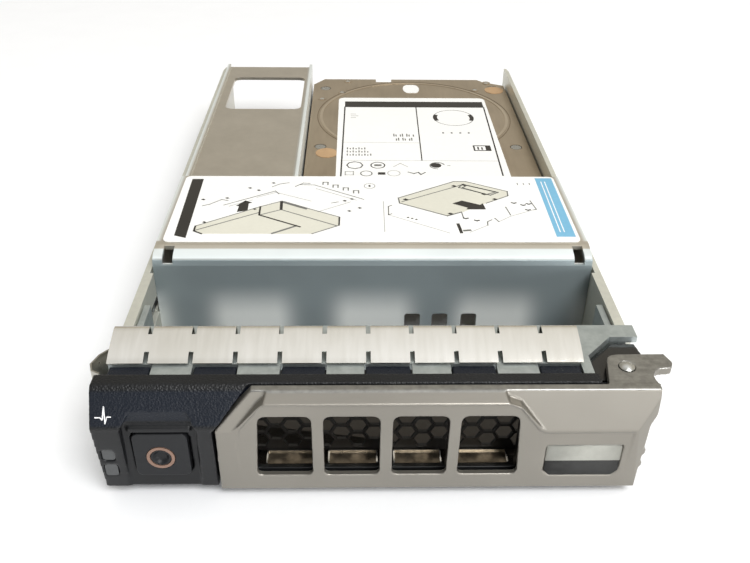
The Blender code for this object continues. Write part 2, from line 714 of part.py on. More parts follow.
def build_lever():
    """The release handle: face, hood over the windows, two lugs on the pin and the hook."""
    low_profile = [
        (LEVER_BACK, LEVER_BOTTOM),
        LEVER_FOOT,
        (hood_front(LABEL_CREASE[1]), LABEL_CREASE[1]),
        (LEVER_TOP_FRONT, LEVER_TOP),
        (LEVER_BACK, LEVER_TOP),
    ]
    lever = plate("lever", "grey_lever", "YZ", -31.9, 52.2, low_profile)
    hood_profile = [
        (LEVER_BACK - 0.1, LEVER_BOTTOM + 0.1),
        (LEVER_FOOT[0], LEVER_BOTTOM + 0.1),
        (hood_front(HOOD_CREASE[1]), HOOD_CREASE[1]),
        (LEVER_TOP_FRONT, LEVER_TOP - 0.02),
        (LEVER_BACK - 0.1, LEVER_TOP - 0.02),
    ]
    hood = plate("lever_hood", None, "YZ", -31.5, 34.0, hood_profile)
    hood_trim = box("hood_trim", None, (-60.0, 60.0), (-110.0, -80.0), (-10.0, 40.0))
    keep = plate("hood_outline", None, "XZ", -110.0, -70.0, HOOD_OUTLINE)
    cut(hood_trim, keep)
    cut(hood, hood_trim)
    join(lever, hood)
    upper_plan = [(42.3, LEVER_TOP_FRONT + 1.0), (43.7, -83.5)]
    upper_plan += circle(45.7, -83.8, 2.0, 4, 180.0, -90.0)
    upper_plan += [(55.2, -81.6), (56.2, -84.3), (55.5, -85.9), (53.4, -86.2)]
    upper_plan += circle(54.0, -88.6, 2.6, 5, 110.0, 90.0)
    upper_plan += [(51.8, LEVER_TOP_FRONT + 1.0)]
    upper = plate("upper_lug", None, "XY", LEVER_TOP - LUG_THICKNESS, LEVER_TOP - 0.05, upper_plan)
    lower_plan = [(42.3, LEVER_TOP_FRONT + 1.0), (43.7, -83.5)]
    lower_plan += circle(45.7, -83.8, 2.0, 4, 180.0, -90.0)
    lower_plan += [(49.5, -82.4), (50.8, -86.0), (51.0, LEVER_TOP_FRONT + 1.0)]
    lower = plate("lower_lug", None, "XY", LEVER_BOTTOM + 0.05, LEVER_BOTTOM + LUG_THICKNESS, lower_plan)
    tongue_plan = [(-28.0, -91.0), (-26.5, -91.0), (-26.5, -84.0), (-30.3, -84.0), (-30.3, -85.5),
                   (-28.0, -85.5)]
    tongue = plate("catch_tongue", None, "XY", *LATCH_Z, tongue_plan)
    join(lever, upper, lower, tongue)
    outline = [(-30.4, -2.0), (-30.1, 18.2), (-23.3, 26.0), (-23.3, 30.0), (-60.0, 30.0), (-60.0, -2.0)]
    cuts = [plate("lever_left_trim", None, "XZ", -100.0, LEVER_BACK + 0.2, outline)]
    right = [(51.9, 30.0), (51.9, 25.6), (52.1, 20.1), (51.0, 18.0), (50.8, 12.0), (51.3, 11.6),
             (51.3, 10.6)]
    right += [(50.6, 10.2), (50.6, 8.8), (51.0, 8.4), (51.0, 7.6), (50.5, 7.2), (50.4, -2.0), (60.0, -2.0),
              (60.0, 30.0)]
    cuts.append(plate("lever_right_trim", None, "XZ", -100.0, LEVER_BACK - 0.01, right))
    facet = [(48.2, -94.4), (53.5, -91.78), (56.0, -97.0), (48.2, -97.0)]
    cuts.append(plate("lever_right_facet", None, "XY", -5.0, 30.0, facet))
    profile = [(-90.0, 3.8), (-92.2, 3.8), (-93.5, 22.9), (-90.0, 22.9)]
    hollow = plate("lever_hollow", None, "YZ", -24.6, 28.4, profile)
    cuts.append(panel_recess())
    # The hollow's upper corners stay clear of the hood's ramps.
    left_corner = plate("hollow_left", None, "XZ", -95.0, -89.0,
                        [(-26.0, 15.7), (-18.7, 25.0), (-26.0, 25.0)])
    right_corner = plate("hollow_right", None, "XZ", -95.0, -89.0,
                         [(30.0, 15.9), (30.0, 25.0), (22.8, 25.0)])
    cut(hollow, left_corner, right_corner)
    cuts.append(hollow)
    cuts.append(rod("lug_bore", None, "Z", (*PIN, 0), PIN_HOLE, -2.0, 30.0))
    for i, (x0, x1) in enumerate(WINDOWS):
        opening = window_outline(i, x0, x1)
        cuts.append(plate(f"lever_window_{i + 1}", None, "XZ", -100.0, -88.0, opening))
    x0, x1, z0, z1 = LABEL_RECESS
    face = hood_front((z0 + z1) / 2)
    recess = label_outline(x0, x1, z0, z1)
    cuts.append(plate("label_recess", None, "XZ", -100.0, face + 0.6, recess))
    return cut(lever, *cuts)


def window_outline(index, x0, x1):
    """One window: round corners, with the outer side of the end windows splayed at the foot."""
    z0, z1 = WINDOW_Z
    splay_left = 0.8 if index == 0 else 0.0
    splay_right = 0.8 if index == len(WINDOWS) - 1 else 0.0
    points = circle(x1 - 1.4 - splay_right, z1 - 1.4, 1.4, 4, 0, 90)
    points += circle(x0 + 1.4 + splay_left, z1 - 1.4, 1.4, 4, 90, 90)
    points += circle(x0 + 1.0, z0 + 1.0, 1.0, 3, 180, 90)
    points += circle(x1 - 1.0, z0 + 1.0, 1.0, 3, 270, 90)
    return points


def label_outline(x0, x1, z0, z1):
    """The small label's outline: round upper corners and bevelled lower ones."""
    points = circle(x1 - 0.6, z1 - 0.6, 0.6, 3, 0, 90)
    points += circle(x0 + 0.6, z1 - 0.6, 0.6, 3, 90, 90)
    points += [(x0, z0 + 1.2), (x0 + 1.2, z0), (x1 - 1.2, z0), (x1, z0 + 1.2)]
    return points


def build_lever_label():
    """The sticker in the lever's recess."""
    x0, x1, z0, z1 = LABEL_RECESS
    face = hood_front((z0 + z1) / 2) + 0.6
    inset = 0.2
    outline = label_outline(x0 + inset, x1 - inset, z0 + inset, z1 - inset)
    return plate("lever_label", "label_grey", "XZ", face - 0.25, face - SEAT, outline)


def build_lever_pin():
    """The hinge pin, with a domed head."""
    crown = LEVER_TOP + 0.6
    profile = [(0.0, crown), (0.7, crown - 0.1), (1.3, crown - 0.4), (PIN_RADIUS, crown - 0.6)]
    profile += [(PIN_RADIUS, PIN_FOOT), (0.0, PIN_FOOT)]
    return turned("lever_pin", "screw_steel", PIN, profile, 24)


def build_button():
    """The push button, with a seat for its ring, a spring pocket and the stem that works the latch."""
    outline = rounded(*BUTTON_X, *BUTTON_Z, 1.2, 4)
    button = plate("release_button", "black_plastic", "XZ", BUTTON_FRONT, BUTTON_BACK, outline)
    stem_plan = [(-41.9, BUTTON_BACK - 0.5), (-41.9, -84.5), (-40.0, -82.6), (-37.4, -82.6),
                 (-37.4, BUTTON_BACK - 0.5)]
    stem = plate("button_stem", None, "XY", LATCH_Z[0] + 0.1, LATCH_Z[1] - 0.1, stem_plan)
    join(button, stem)
    x, z = RING_CENTRE
    groove = plate("ring_groove", None, "XZ", BUTTON_FRONT - 1.0, BUTTON_FRONT + 0.3, circle(x, z, 2.75),
                   (circle(x, z, 1.95),))
    dimple = rod("button_dimple", None, "Y", (x, 0, z), 1.75, BUTTON_FRONT - 0.1, BUTTON_FRONT + 0.8, 24,
                 1.0)
    pocket = rod("button_pocket", None, "Y", (BUTTON_SPRING[0], 0, BUTTON_SPRING[1]), 2.2, -92.1, -88.0)
    return cut(button, groove, dimple, pocket)


def build_button_ring():
    x, z = RING_CENTRE
    ring = plate("button_ring", "copper", "XZ", BUTTON_FRONT - 0.05, BUTTON_FRONT + 0.25, circle(x, z, 2.65),
                 (circle(x, z, 2.05),))
    return ring


def build_latch():
    """The sliding catch: the button's stem pushes its 45 degree ramp and draws its finger off the lever."""
    outline = [
        (-45.1, -86.9),
        (-44.7, -86.9),
        (-38.0, -80.2),
        (-35.0, -80.2),
        (-35.0, -86.9),
        (-28.7, -86.9),
        (-28.7, -85.9),
        (-33.4, -85.9),
        (-33.4, -78.6),
        (-45.1, -78.6),
    ]
    return plate("latch", "black_plastic", "XY", *LATCH_Z, outline)


# ---- adapter bracket ------------------------------------------------------------------------------------

def build_adapter_bracket():
    """The folded sheet bracket: front wall, label plate, left deck with its opening, and side walls."""
    middle = SHEET / 2
    line = [
        (BRACKET_FRONT + middle, BRACKET_BOTTOM),
        (BRACKET_FRONT + middle, 22.6),
        (BRACKET_FRONT + 0.75, 23.7),
        (BRACKET_FRONT + 1.7, 24.35),
        (PLATE_FRONT, PLATE_TOP - middle),
        (PLATE_REAR - middle, PLATE_TOP - middle),
        (PLATE_REAR - middle, DECK_TOP - SHEET),
    ]
    bracket = plate("adapter_bracket", "galvanised", "YZ", -BRACKET_HALF, BRACKET_HALF,
                    strip_section(line, SHEET))
    deck_hole = rounded(*DECK_HOLE, 2.0, 3)
    deck_outline = rectangle(-BRACKET_HALF + 0.2, DECK_RIGHT - 0.2, PLATE_REAR - 0.9, BRACKET_REAR)
    deck = plate("bracket_deck", None, "XY", DECK_TOP - SHEET, DECK_TOP, deck_outline, (deck_hole,))
    front = BRACKET_FRONT + 0.3
    left = box("bracket_left", None, (-BRACKET_HALF, -BRACKET_HALF + SHEET), (front, BRACKET_REAR),
               (BRACKET_BOTTOM, RIM_TOP))
    right = box("bracket_right", None, (BRACKET_HALF - SHEET, BRACKET_HALF), (front, -8.0),
                (BRACKET_BOTTOM, RIM_TOP))
    rim = box("bracket_rim", None, (DECK_RIGHT - SHEET, DECK_RIGHT), (PLATE_REAR - 0.8, BRACKET_REAR),
              (BRACKET_BOTTOM, RIM_TOP))
    join(bracket, deck, left, right, rim)
    cuts = []
    for i, (x0, x1) in enumerate(((-48.6, -46.2), (46.6, 49.0))):
        cuts.append(box(f"corner_relief_{i + 1}", None, (x0, x1), (-46.0, -40.2), (22.9, 28.0)))
    for i, x in enumerate(WALL_SLOTS):
        slot = rounded(x - 1.9, x + 1.9, 3.4, 9.2, 0.6, 3)
        cuts.append(plate(f"wall_slot_{i + 1}", None, "XZ", -47.0, -42.0, slot))
    for name, (side, y) in BRACKET_SCREWS.items():
        across = span(side, 48.0, 53.0)
        cuts.append(rod(f"{name}_hole", None, "X", (0, y, SCREW_Z), 1.75, *across, count=16))
    for name in ("drive_screw_1", "drive_screw_2"):
        y = DRIVE_SCREWS[name][1]
        cuts.append(rod(f"{name}_hole", None, "X", (0, y, DRIVE_SCREW_Z), 1.75, -23.0, -19.7, count=16))
    return cut(bracket, *cuts)


def build_bracket_label():
    outline = rounded(*BRACKET_LABEL, 1.5, 4)
    return plate("bracket_label", "label_white", "XY", PLATE_TOP + SEAT, PLATE_TOP + 0.18, outline)


def build_screw(name, slot, axis, centre, head, shank, inner, seat, outer, count=12):
    """A screw along an axis: shank from inner to seat, then head to outer."""
    low, high = sorted((seat, outer))
    screw = rod(name, slot, axis, centre, head, low, high, count)
    overlap = 0.2 if outer > seat else -0.2
    low, high = sorted((inner, seat + overlap))
    join(screw, rod(f"{name}_shank", None, axis, centre, shank, low, high, count))
    return screw


def build_side_screws():
    for name, (side, y) in BRACKET_SCREWS.items():
        build_screw(name, "screw_steel", "X", (0, y, SCREW_Z), 2.6, 1.5, side * 47.6, side * 51.2,
                    side * 52.3)
    for name, (side, y) in DRIVE_SCREWS.items():
        centre = (0, y, DRIVE_SCREW_Z)
        if side > 0:
            build_screw(name, "screw_steel", "X", centre, 2.6, 1.3, 48.0, 51.0, 52.3)
        else:
            build_screw(name, "screw_steel", "X", centre, 2.4, 1.3, -17.0, -21.1, -22.2)


# ---- drive ----------------------------------------------------------------------------------------------

def drive_outline(inset=0.0, front_inset=None):
    """The drive's plan: a rectangle with its two rear corners cut away."""
    x0, x1 = DRIVE_LEFT + inset, DRIVE_RIGHT - inset
    y0 = DRIVE_FRONT + (inset if front_inset is None else front_inset)
    y1 = DRIVE_REAR - inset
    return [(x0, y0), (x1, y0), (x1, 89.0 - inset), (43.4 - inset / 2, 92.6 - inset), (41.4 - inset / 2, y1),
            (x0 + 3.8 - inset / 2, y1), (x0, 89.4 - inset / 2)]


def build_drive_base():
    """The cast tub that holds the discs: an open cavity, side rails under it, and the connector's bay."""
    base = plate("drive_base", "cast_base", "XY", BASE_UNDERSIDE, BASE_TOP, drive_outline())
    rails = []
    for side, (x0, x1) in (("left", (DRIVE_LEFT + 0.02, DRIVE_LEFT + 3.2)),
                           ("right", (47.4, DRIVE_RIGHT - 0.02))):
        foot = box(f"base_foot_{side}", None, (x0, x1), (DRIVE_FRONT + 0.02, 88.0), (DRIVE_BOTTOM, 5.0))
        rails.append(foot)
    join(base, *rails)
    cavity = plate("base_cavity", None, "XY", CAVITY_FLOOR, 20.0, drive_outline(BASE_WALL))
    posts = []
    for i, (x, y) in enumerate(COVER_SCREWS):
        posts.append(rod(f"base_post_{i + 1}", None, "Z", (x, y, 0), 2.3, CAVITY_FLOOR - 1.0, 21.0, 16))
    cut(cavity, *posts)
    cuts = [cavity]
    for i, (x, y) in enumerate(COVER_SCREWS):
        cuts.append(rod(f"base_thread_{i + 1}", None, "Z", (x, y, 0), 0.9, 10.0, 20.0, 12))
    bay = (CONNECTOR_X[0] - 0.4, CONNECTOR_X[1] + 0.4)
    cuts.append(box("connector_bay", None, bay, (86.6, 97.0), (2.0, 6.5)))
    for name, (side, y) in DRIVE_SCREWS.items():
        across = (47.6, 52.0) if side > 0 else (-21.0, -16.6)
        cuts.append(rod(f"{name}_thread", None, "X", (0, y, DRIVE_SCREW_Z), 1.45, *across, count=16))
    return cut(base, *cuts)


def build_drive_cover():
    """The lid, with a notch at its rear edge and a recess for each screw head."""
    cover = plate("drive_cover", "bronze_cover", "XY", BASE_TOP + 0.35, DRIVE_TOP, drive_outline())
    cuts = [box("cover_notch", None, (3.5, 9.2), (92.2, 97.0), (15.0, 18.0))]
    for i, (x, y) in enumerate(COVER_SCREWS):
        cuts.append(rod(f"cover_hole_{i + 1}", None, "Z", (x, y, 0), 1.05, 15.0, 18.0, 16))
        cuts.append(rod(f"cover_recess_{i + 1}", None, "Z", (x, y, 0), 1.9, DRIVE_TOP - 0.75, 18.0, 16))
    return cut(cover, *cuts)


def build_cover_gasket():
    return plate("cover_gasket", "seal_rubber", "XY", BASE_TOP + SEAT, BASE_TOP + 0.3, drive_outline(0.3),
                 (drive_outline(1.2),))


def build_drive_label():
    outline = rounded(*DRIVE_LABEL, 2.0, 4)
    return plate("drive_label", "label_white", "XY", DRIVE_TOP + SEAT, DRIVE_TOP + 0.16, outline)


def build_platters():
    """The discs and the spacer rings between them."""
    ring = circle(*SPINDLE, PLATTER_BORE, 24)
    for i, z in enumerate(PLATTER_Z):
        disc = circle(*SPINDLE, PLATTER_RADIUS, 48)
        plate(f"platter_{i + 1}", "platter_mirror", "XY", z, z + PLATTER_THICKNESS, disc, (ring,))
    for i, z in enumerate(PLATTER_Z[:-1]):
        spacer = circle(*SPINDLE, 12.8, 24)
        low, high = z + PLATTER_THICKNESS + SEAT, PLATTER_Z[i + 1] - SEAT
        plate(f"platter_spacer_{i + 1}", "aluminium", "XY", low, high, spacer, (ring,))


def build_spindle():
    """The hub with its axle, the stator inside it and the clamp on top."""
    hub = [(0.0, 14.1), (10.0, 14.1), (10.0, 8.5), (12.4, 8.5), (12.4, 7.9), (8.4, 7.9), (8.4, 12.6),
           (1.8, 12.6),
           (1.8, 7.4), (0.0, 7.4)]
    turned("spindle_hub", "aluminium", SPINDLE, hub)
    stator = [(7.9, 12.2), (7.9, 7.4), (2.3, 7.4), (2.3, 12.2)]
    turned("spindle_stator", "copper", SPINDLE, stator)
    clamp = [(0.0, 14.9), (9.0, 14.9), (12.8, 14.5), (12.8, 14.15), (0.0, 14.15)]
    turned("disk_clamp", "aluminium", SPINDLE, clamp)


def polar(radius, angle):
    """A point at a distance and a bearing from the actuator's pivot."""
    return (PIVOT[0] + radius * math.cos(math.radians(angle)),
            PIVOT[1] + radius * math.sin(math.radians(angle)))


def build_actuator():
    """The head stack: a hub on the pivot, two arms between the discs, and the coil behind."""
    body = circle(*PIVOT, 5.2, 24)
    bore = circle(*PIVOT, 2.1, 24)
    arm = plate("actuator_arm", "aluminium", "XY", 8.2, 14.6, body, (bore,))
    pieces = []
    for i, (low, high) in enumerate(ARM_Z):
        outline = [polar(4.6, PARK_ANGLE + 60), polar(ARM_LENGTH, PARK_ANGLE + 1.4),
                   polar(ARM_LENGTH, PARK_ANGLE - 1.4),
                   polar(4.6, PARK_ANGLE - 60)]
        pieces.append(plate(f"arm_blade_{i + 1}", None, "XY", low, high, outline))
    yoke_low, yoke_high = 9.9, 12.1
    behind = PARK_ANGLE - 180
    for i, side in enumerate((-1, 1)):
        outline = [polar(3.4, behind + side * 60), polar(3.0, behind), polar(17.0, behind + side * 17),
                   polar(17.0, behind + side * 21)]
        pieces.append(plate(f"coil_yoke_{i + 1}", None, "XY", yoke_low, yoke_high, outline))
    join(arm, *pieces)
    coil_loop = [polar(16.6, behind - 14.5), polar(16.6, behind), polar(16.6, behind + 14.5),
                 polar(8.2, behind + 9.0),
                 polar(8.2, behind - 9.0)]
    inner_loop = [polar(14.2, behind - 8.0), polar(14.4, behind), polar(14.2, behind + 8.0),
                  polar(10.2, behind + 3.5),
                  polar(10.2, behind - 3.5)]
    coil_piece = plate("voice_coil", "copper", "XY", yoke_low + 0.1, yoke_high - 0.1, coil_loop,
                       (inner_loop,))
    hinge_on("actuator_axis", *PIVOT, arm, coil_piece)
    pin = [(0.0, 15.2), (1.9, 15.2), (1.9, 7.4), (0.0, 7.4)]
    turned("actuator_pivot", "screw_steel", PIVOT, pin, 24)


def build_magnet_plates():
    """The two steel plates, above and below the coil's sweep."""
    middle = PARK_ANGLE - 180 - ARM_SWEEP / 2
    reach = ARM_SWEEP / 2 + 17.5
    outer = [polar(17.6, middle + reach * t / 4) for t in range(-4, 5)]
    inner = [polar(8.0, middle + reach * t / 2) for t in range(2, -3, -1)]
    for name, (low, high) in {"magnet_plate_lower": (7.4, 9.0), "magnet_plate_upper": (13.2, 15.1)}.items():
        plate(name, "magnet_plate", "XY", low, high, outer + inner)


def build_load_ramp():
    """The comb that the head arms park on, just past the discs' rim."""
    outline = [polar(37.6, 154.0), polar(37.6, 162.0), polar(41.0, 162.0), polar(41.0, 154.4)]
    return plate("load_ramp", "ramp_plastic", "XY", 7.4, 14.6, outline)


def build_electronics():
    """The circuit board under the base, the serial-attached connector and the breather."""
    board = [(-15.9, -3.4), (47.1, -3.4), (47.1, 62.0), (43.8, 66.0), (43.8, 86.2), (-0.4, 86.2),
             (-0.4, 80.0),
             (-15.9, 72.0)]
    holes = [circle(x, y, 1.4, 10) for x, y in ((-13.0, 0.0), (44.0, 0.0), (-12.6, 68.0), (41.0, 83.0))]
    plate("circuit_board", "board_green", "XY", 3.0, 4.2, board, holes)
    x0, x1 = CONNECTOR_X
    connector = box("sas_connector", "black_plastic", (x0, x1), (86.9, 94.8), (2.35, 6.2))
    mouth = box("connector_mouth", None, (x0 + 1.6, x1 - 1.6), (89.4, 96.0), (3.1, 5.5))
    tongue = box("connector_tongue", None, (x0 + 2.6, x1 - 2.6), (88.8, 94.4), (4.35, 5.45))
    key = box("connector_key", None, (x0 + 15.6, x0 + 17.4), (88.8, 94.4), (2.6, 4.6))
    cut(connector, mouth)
    join(connector, tongue, key)
    filter_profile = [(0.0, 9.6), (2.6, 9.6), (3.0, 9.2), (3.0, 7.3), (0.0, 7.3)]
    turned("breather_filter", "label_white", (-12.6, 24.0), filter_profile, 24)


def build_cover_screws():
    for i, (x, y) in enumerate(COVER_SCREWS):
        name = f"cover_screw_{i + 1}"
        build_screw(name, "screw_steel", "Z", (x, y, 0), 1.7, 0.75, 11.0, DRIVE_TOP - 0.7,
                    DRIVE_TOP - 0.05, 12)


def main():
    for side in (-1, 1):
        build_rail(side)
        build_rivet(side)
    build_front_frame()
    build_floor_pan()
    build_bezel()
    for name in GUIDES:
        build_light_pipe(name)
    build_hinge_housing()
    build_vent_screen()
    build_emi_gasket()
    build_ground_spring()
    lever = build_lever()
    sticker = build_lever_label()
    hinge_on("lever_axis", *PIN, lever, sticker)
    build_lever_pin()
    coil("lever_spring", "spring_steel", (*PIN, 10.2), "Z", 2.5, 0.7, 6.2, 3.5, 10)
    build_button()
    build_button_ring()
    coil("button_spring", "spring_steel", (BUTTON_SPRING[0], -91.8, BUTTON_SPRING[1]), "Y", 1.6, 0.4, 3.2,
         3, 10)
    build_latch()
    build_adapter_bracket()
    build_bracket_label()
    build_side_screws()
    build_drive_base()
    build_drive_cover()
    build_cover_gasket()
    build_drive_label()
    build_platters()
    build_spindle()
    build_actuator()
    build_magnet_plates()
    build_load_ramp()
    build_electronics()
    build_cover_screws()


main()
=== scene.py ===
import json
import math

import bmesh
import bpy
from mathutils import Matrix, Vector


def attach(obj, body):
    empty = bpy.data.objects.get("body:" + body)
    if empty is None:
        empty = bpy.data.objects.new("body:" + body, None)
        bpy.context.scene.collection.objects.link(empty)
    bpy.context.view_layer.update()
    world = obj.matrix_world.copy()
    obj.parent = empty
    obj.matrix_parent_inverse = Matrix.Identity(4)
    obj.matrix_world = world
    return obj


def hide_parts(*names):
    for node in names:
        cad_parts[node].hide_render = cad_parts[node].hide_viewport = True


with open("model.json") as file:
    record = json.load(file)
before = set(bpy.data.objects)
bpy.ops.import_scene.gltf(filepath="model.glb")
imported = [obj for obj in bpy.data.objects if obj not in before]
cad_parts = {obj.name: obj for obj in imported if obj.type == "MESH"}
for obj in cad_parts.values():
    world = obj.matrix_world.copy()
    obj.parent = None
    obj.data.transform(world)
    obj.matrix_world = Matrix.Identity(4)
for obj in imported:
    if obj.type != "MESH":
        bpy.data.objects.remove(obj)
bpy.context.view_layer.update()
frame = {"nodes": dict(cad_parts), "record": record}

MM = 0.001
NODES = frame["nodes"]

# Camera
CAMERA_AT = (-0.00431, -0.20687, 0.12518)
YAW, PITCH, ROLL = (math.radians(angle) for angle in (1.72, -33.15, 0.91))
LENS = 39.87
SHIFT = (-0.0014, -0.0037)

# Carrier, in millimetres
GASKET_LINE = (
    (-83.7, 25.6), (-82.3, 26.3), (-80.0, 27.1), (-77.5, 27.78), (-75.8, 28.1),
    (-75.05, 27.85), (-74.75, 27.1), (-74.9, 25.65),
)
GASKET_X = (-51.15, 39.35)
FINGER_FIRST = -43.9
FINGER_PITCH = 8.42
FINGERS = 10
SLOT_HALF = 0.45
FRONT_SLOT_END = -81.4
REAR_SLOT_START = -77.3
BEZEL_BEND = (-94.9, 19.5)
BEZEL_BROW = (-91.2, 25.5)
LABEL_SPLIT = 9.4
WINDOWS = ((-22.2, -12.6), (-9.8, 0.2), (3.4, 13.1), (16.0, 26.6))
LEDGE_Y = (-86.9, -83.5)
LEDGE_Z = 2.32

# Bracket, drive and their labels, in millimetres
BRACKET_LABEL_TOP = 25.78
DRIVE_LABEL_TOP = 17.46
COVER_TOP = 17.3
SPINDLE_AT = (15.6, 59.5)
INK = 0.02

# Painted textures, and where painted light falls on the bracket: pools of light at its wall's foot and its
# pale rims
FULL_TURN = 6.2832
GRAIN_SCALE = 2500.0
GRAIN_STRENGTH = 0.65
GRAIN_DEPTH = 0.14
CLOUD_SCALE = 55.0
GRAIN_STARTS, GRAIN_FULL = 0.0186, 0.0196
WALL_FACE = -43.8
WALL_LIGHT_POOLS = (8.0, 18.5, 29.0)
BRACKET_RIMS = ((-51.0, 1.6), (51.0, 1.6), (-20.3, 1.5))


def tone(red, green, blue):
    """A colour as the eye sees it, 0 to 255, in the linear values that a shader takes."""
    found = []
    for value in (red, green, blue):
        part = value / 255
        found.append(part / 12.92 if part <= 0.04045 else ((part + 0.055) / 1.055) ** 2.4)
    return (*found, 1.0)


def material(
    name, light, dark, rough, metallic=0.0, patch=60.0, grain=900.0, bump=0.1, depth=0.05,
    swing=0.06, stretch=(1, 1, 1), coat=0.0, spread=(0.35, 0.65), spec=0.5, anisotropy=0.0,
):
    """A surface that drifts from dark to light in patches, with a finer grain in its relief and gloss."""
    made = bpy.data.materials.new(name)
    made.use_nodes = True
    nodes, links = made.node_tree.nodes, made.node_tree.links
    shader = nodes["Principled BSDF"]
    shader.inputs["Metallic"].default_value = metallic
    shader.inputs["Coat Weight"].default_value = coat
    shader.inputs["Coat Roughness"].default_value = 0.12
    shader.inputs["Specular IOR Level"].default_value = spec
    shader.inputs["Anisotropic"].default_value = anisotropy
    place = nodes.new("ShaderNodeTexCoord")
    broad = nodes.new("ShaderNodeTexNoise")
    broad.inputs["Scale"].default_value = patch
    broad.inputs["Detail"].default_value = 4.0
    links.new(place.outputs["Object"], broad.inputs["Vector"])
    mapping = nodes.new("ShaderNodeMapping")
    mapping.inputs["Scale"].default_value = stretch
    links.new(place.outputs["Object"], mapping.inputs["Vector"])
    fine = nodes.new("ShaderNodeTexNoise")
    fine.inputs["Scale"].default_value = grain
    fine.inputs["Detail"].default_value = 3.0
    links.new(mapping.outputs["Vector"], fine.inputs["Vector"])
    both = nodes.new("ShaderNodeMix")
    both.data_type = "FLOAT"
    both.inputs["Factor"].default_value = 0.35
    links.new(broad.outputs["Fac"], both.inputs["A"])
    links.new(fine.outputs["Fac"], both.inputs["B"])
    ramp = nodes.new("ShaderNodeValToRGB")
    ramp.color_ramp.elements[0].position = spread[0]
    ramp.color_ramp.elements[0].color = tone(*dark)
    ramp.color_ramp.elements[1].position = spread[1]
    ramp.color_ramp.elements[1].color = tone(*light)
    links.new(both.outputs["Result"], ramp.inputs["Fac"])
    links.new(ramp.outputs["Color"], shader.inputs["Base Color"])
    gloss = nodes.new("ShaderNodeMapRange")
    gloss.inputs["To Min"].default_value = max(rough - swing, 0.02)
    gloss.inputs["To Max"].default_value = rough + swing
    links.new(fine.outputs["Fac"], gloss.inputs["Value"])
    links.new(gloss.outputs["Result"], shader.inputs["Roughness"])
    relief = nodes.new("ShaderNodeBump")
    relief.inputs["Strength"].default_value = bump
    relief.inputs["Distance"].default_value = depth * MM
    links.new(fine.outputs["Fac"], relief.inputs["Height"])
    links.new(relief.outputs["Normal"], shader.inputs["Normal"])
    return made


def feed(links, source, socket):
    """Links a socket to another one, or sets it to a plain value."""
    if isinstance(source, bpy.types.NodeSocket):
        links.new(source, socket)
    else:
        socket.default_value = source


def at_rest(nodes, links):
    """The place on the object at rest, in metres, whole and as X, Y and Z."""
    place = nodes.new("ShaderNodeTexCoord").outputs["Object"]
    split = nodes.new("ShaderNodeSeparateXYZ")
    links.new(place, split.inputs["Vector"])
    return place, split.outputs


def maths(nodes, links, operation, *terms):
    made = nodes.new("ShaderNodeMath")
    made.operation = operation
    for term, socket in zip(terms, made.inputs):
        feed(links, term, socket)
    return made.outputs["Value"]


def ranged(nodes, links, value, low, high, bottom=0.0, top=1.0, smooth=False):
    """Maps a value from low and high to bottom and top."""
    made = nodes.new("ShaderNodeMapRange")
    if smooth:
        made.interpolation_type = "SMOOTHSTEP"
    for name, number in (("From Min", low), ("From Max", high), ("To Min", bottom), ("To Max", top)):
        made.inputs[name].default_value = number
    links.new(value, made.inputs["Value"])
    return made.outputs["Result"]


def mixed(nodes, links, kind, factor, first, second):
    made = nodes.new("ShaderNodeMix")
    made.data_type = kind
    for source, name in ((factor, "Factor"), (first, "A"), (second, "B")):
        feed(links, source, made.inputs[name])
    return made.outputs["Result"]


def leather(made, low, high):
    """Adds a moulded leather grain that sets in between two heights, in metres."""
    nodes, links = made.node_tree.nodes, made.node_tree.links
    normal = nodes["Principled BSDF"].inputs["Normal"]
    old = normal.links[0].from_socket
    place, axes = at_rest(nodes, links)
    cells = nodes.new("ShaderNodeTexVoronoi")
    cells.inputs["Scale"].default_value = GRAIN_SCALE
    links.new(place, cells.inputs["Vector"])
    mask = ranged(nodes, links, axes["Z"], low, high)
    relief = nodes.new("ShaderNodeBump")
    relief.inputs["Strength"].default_value = GRAIN_STRENGTH
    relief.inputs["Distance"].default_value = GRAIN_DEPTH * MM
    links.new(maths(nodes, links, "MULTIPLY", cells.outputs["Distance"], mask), relief.inputs["Height"])
    links.new(old, relief.inputs["Normal"])
    links.new(relief.outputs["Normal"], normal)


def painted_light_pools(made, behind, low, high, pitch, colour):
    """Paints pools of light, a painted reflection, along the foot of a wall that stands in front of one Y,
    in millimetres.
    """
    nodes, links = made.node_tree.nodes, made.node_tree.links
    base = nodes["Principled BSDF"].inputs["Base Color"]
    old = base.links[0].from_socket
    axes = at_rest(nodes, links)[1]
    angle = maths(nodes, links, "MULTIPLY", axes["X"], FULL_TURN / (pitch * MM))
    along = ranged(nodes, links, maths(nodes, links, "COSINE", angle), -1.1, 0.4, smooth=True)
    foot = ranged(nodes, links, axes["Z"], high * MM, low * MM, smooth=True)
    near = maths(nodes, links, "LESS_THAN", axes["Y"], behind * MM)
    mask = maths(nodes, links, "MULTIPLY", maths(nodes, links, "MULTIPLY", along, foot), near)
    links.new(mixed(nodes, links, "RGBA", mask, old, tone(*colour)), base)


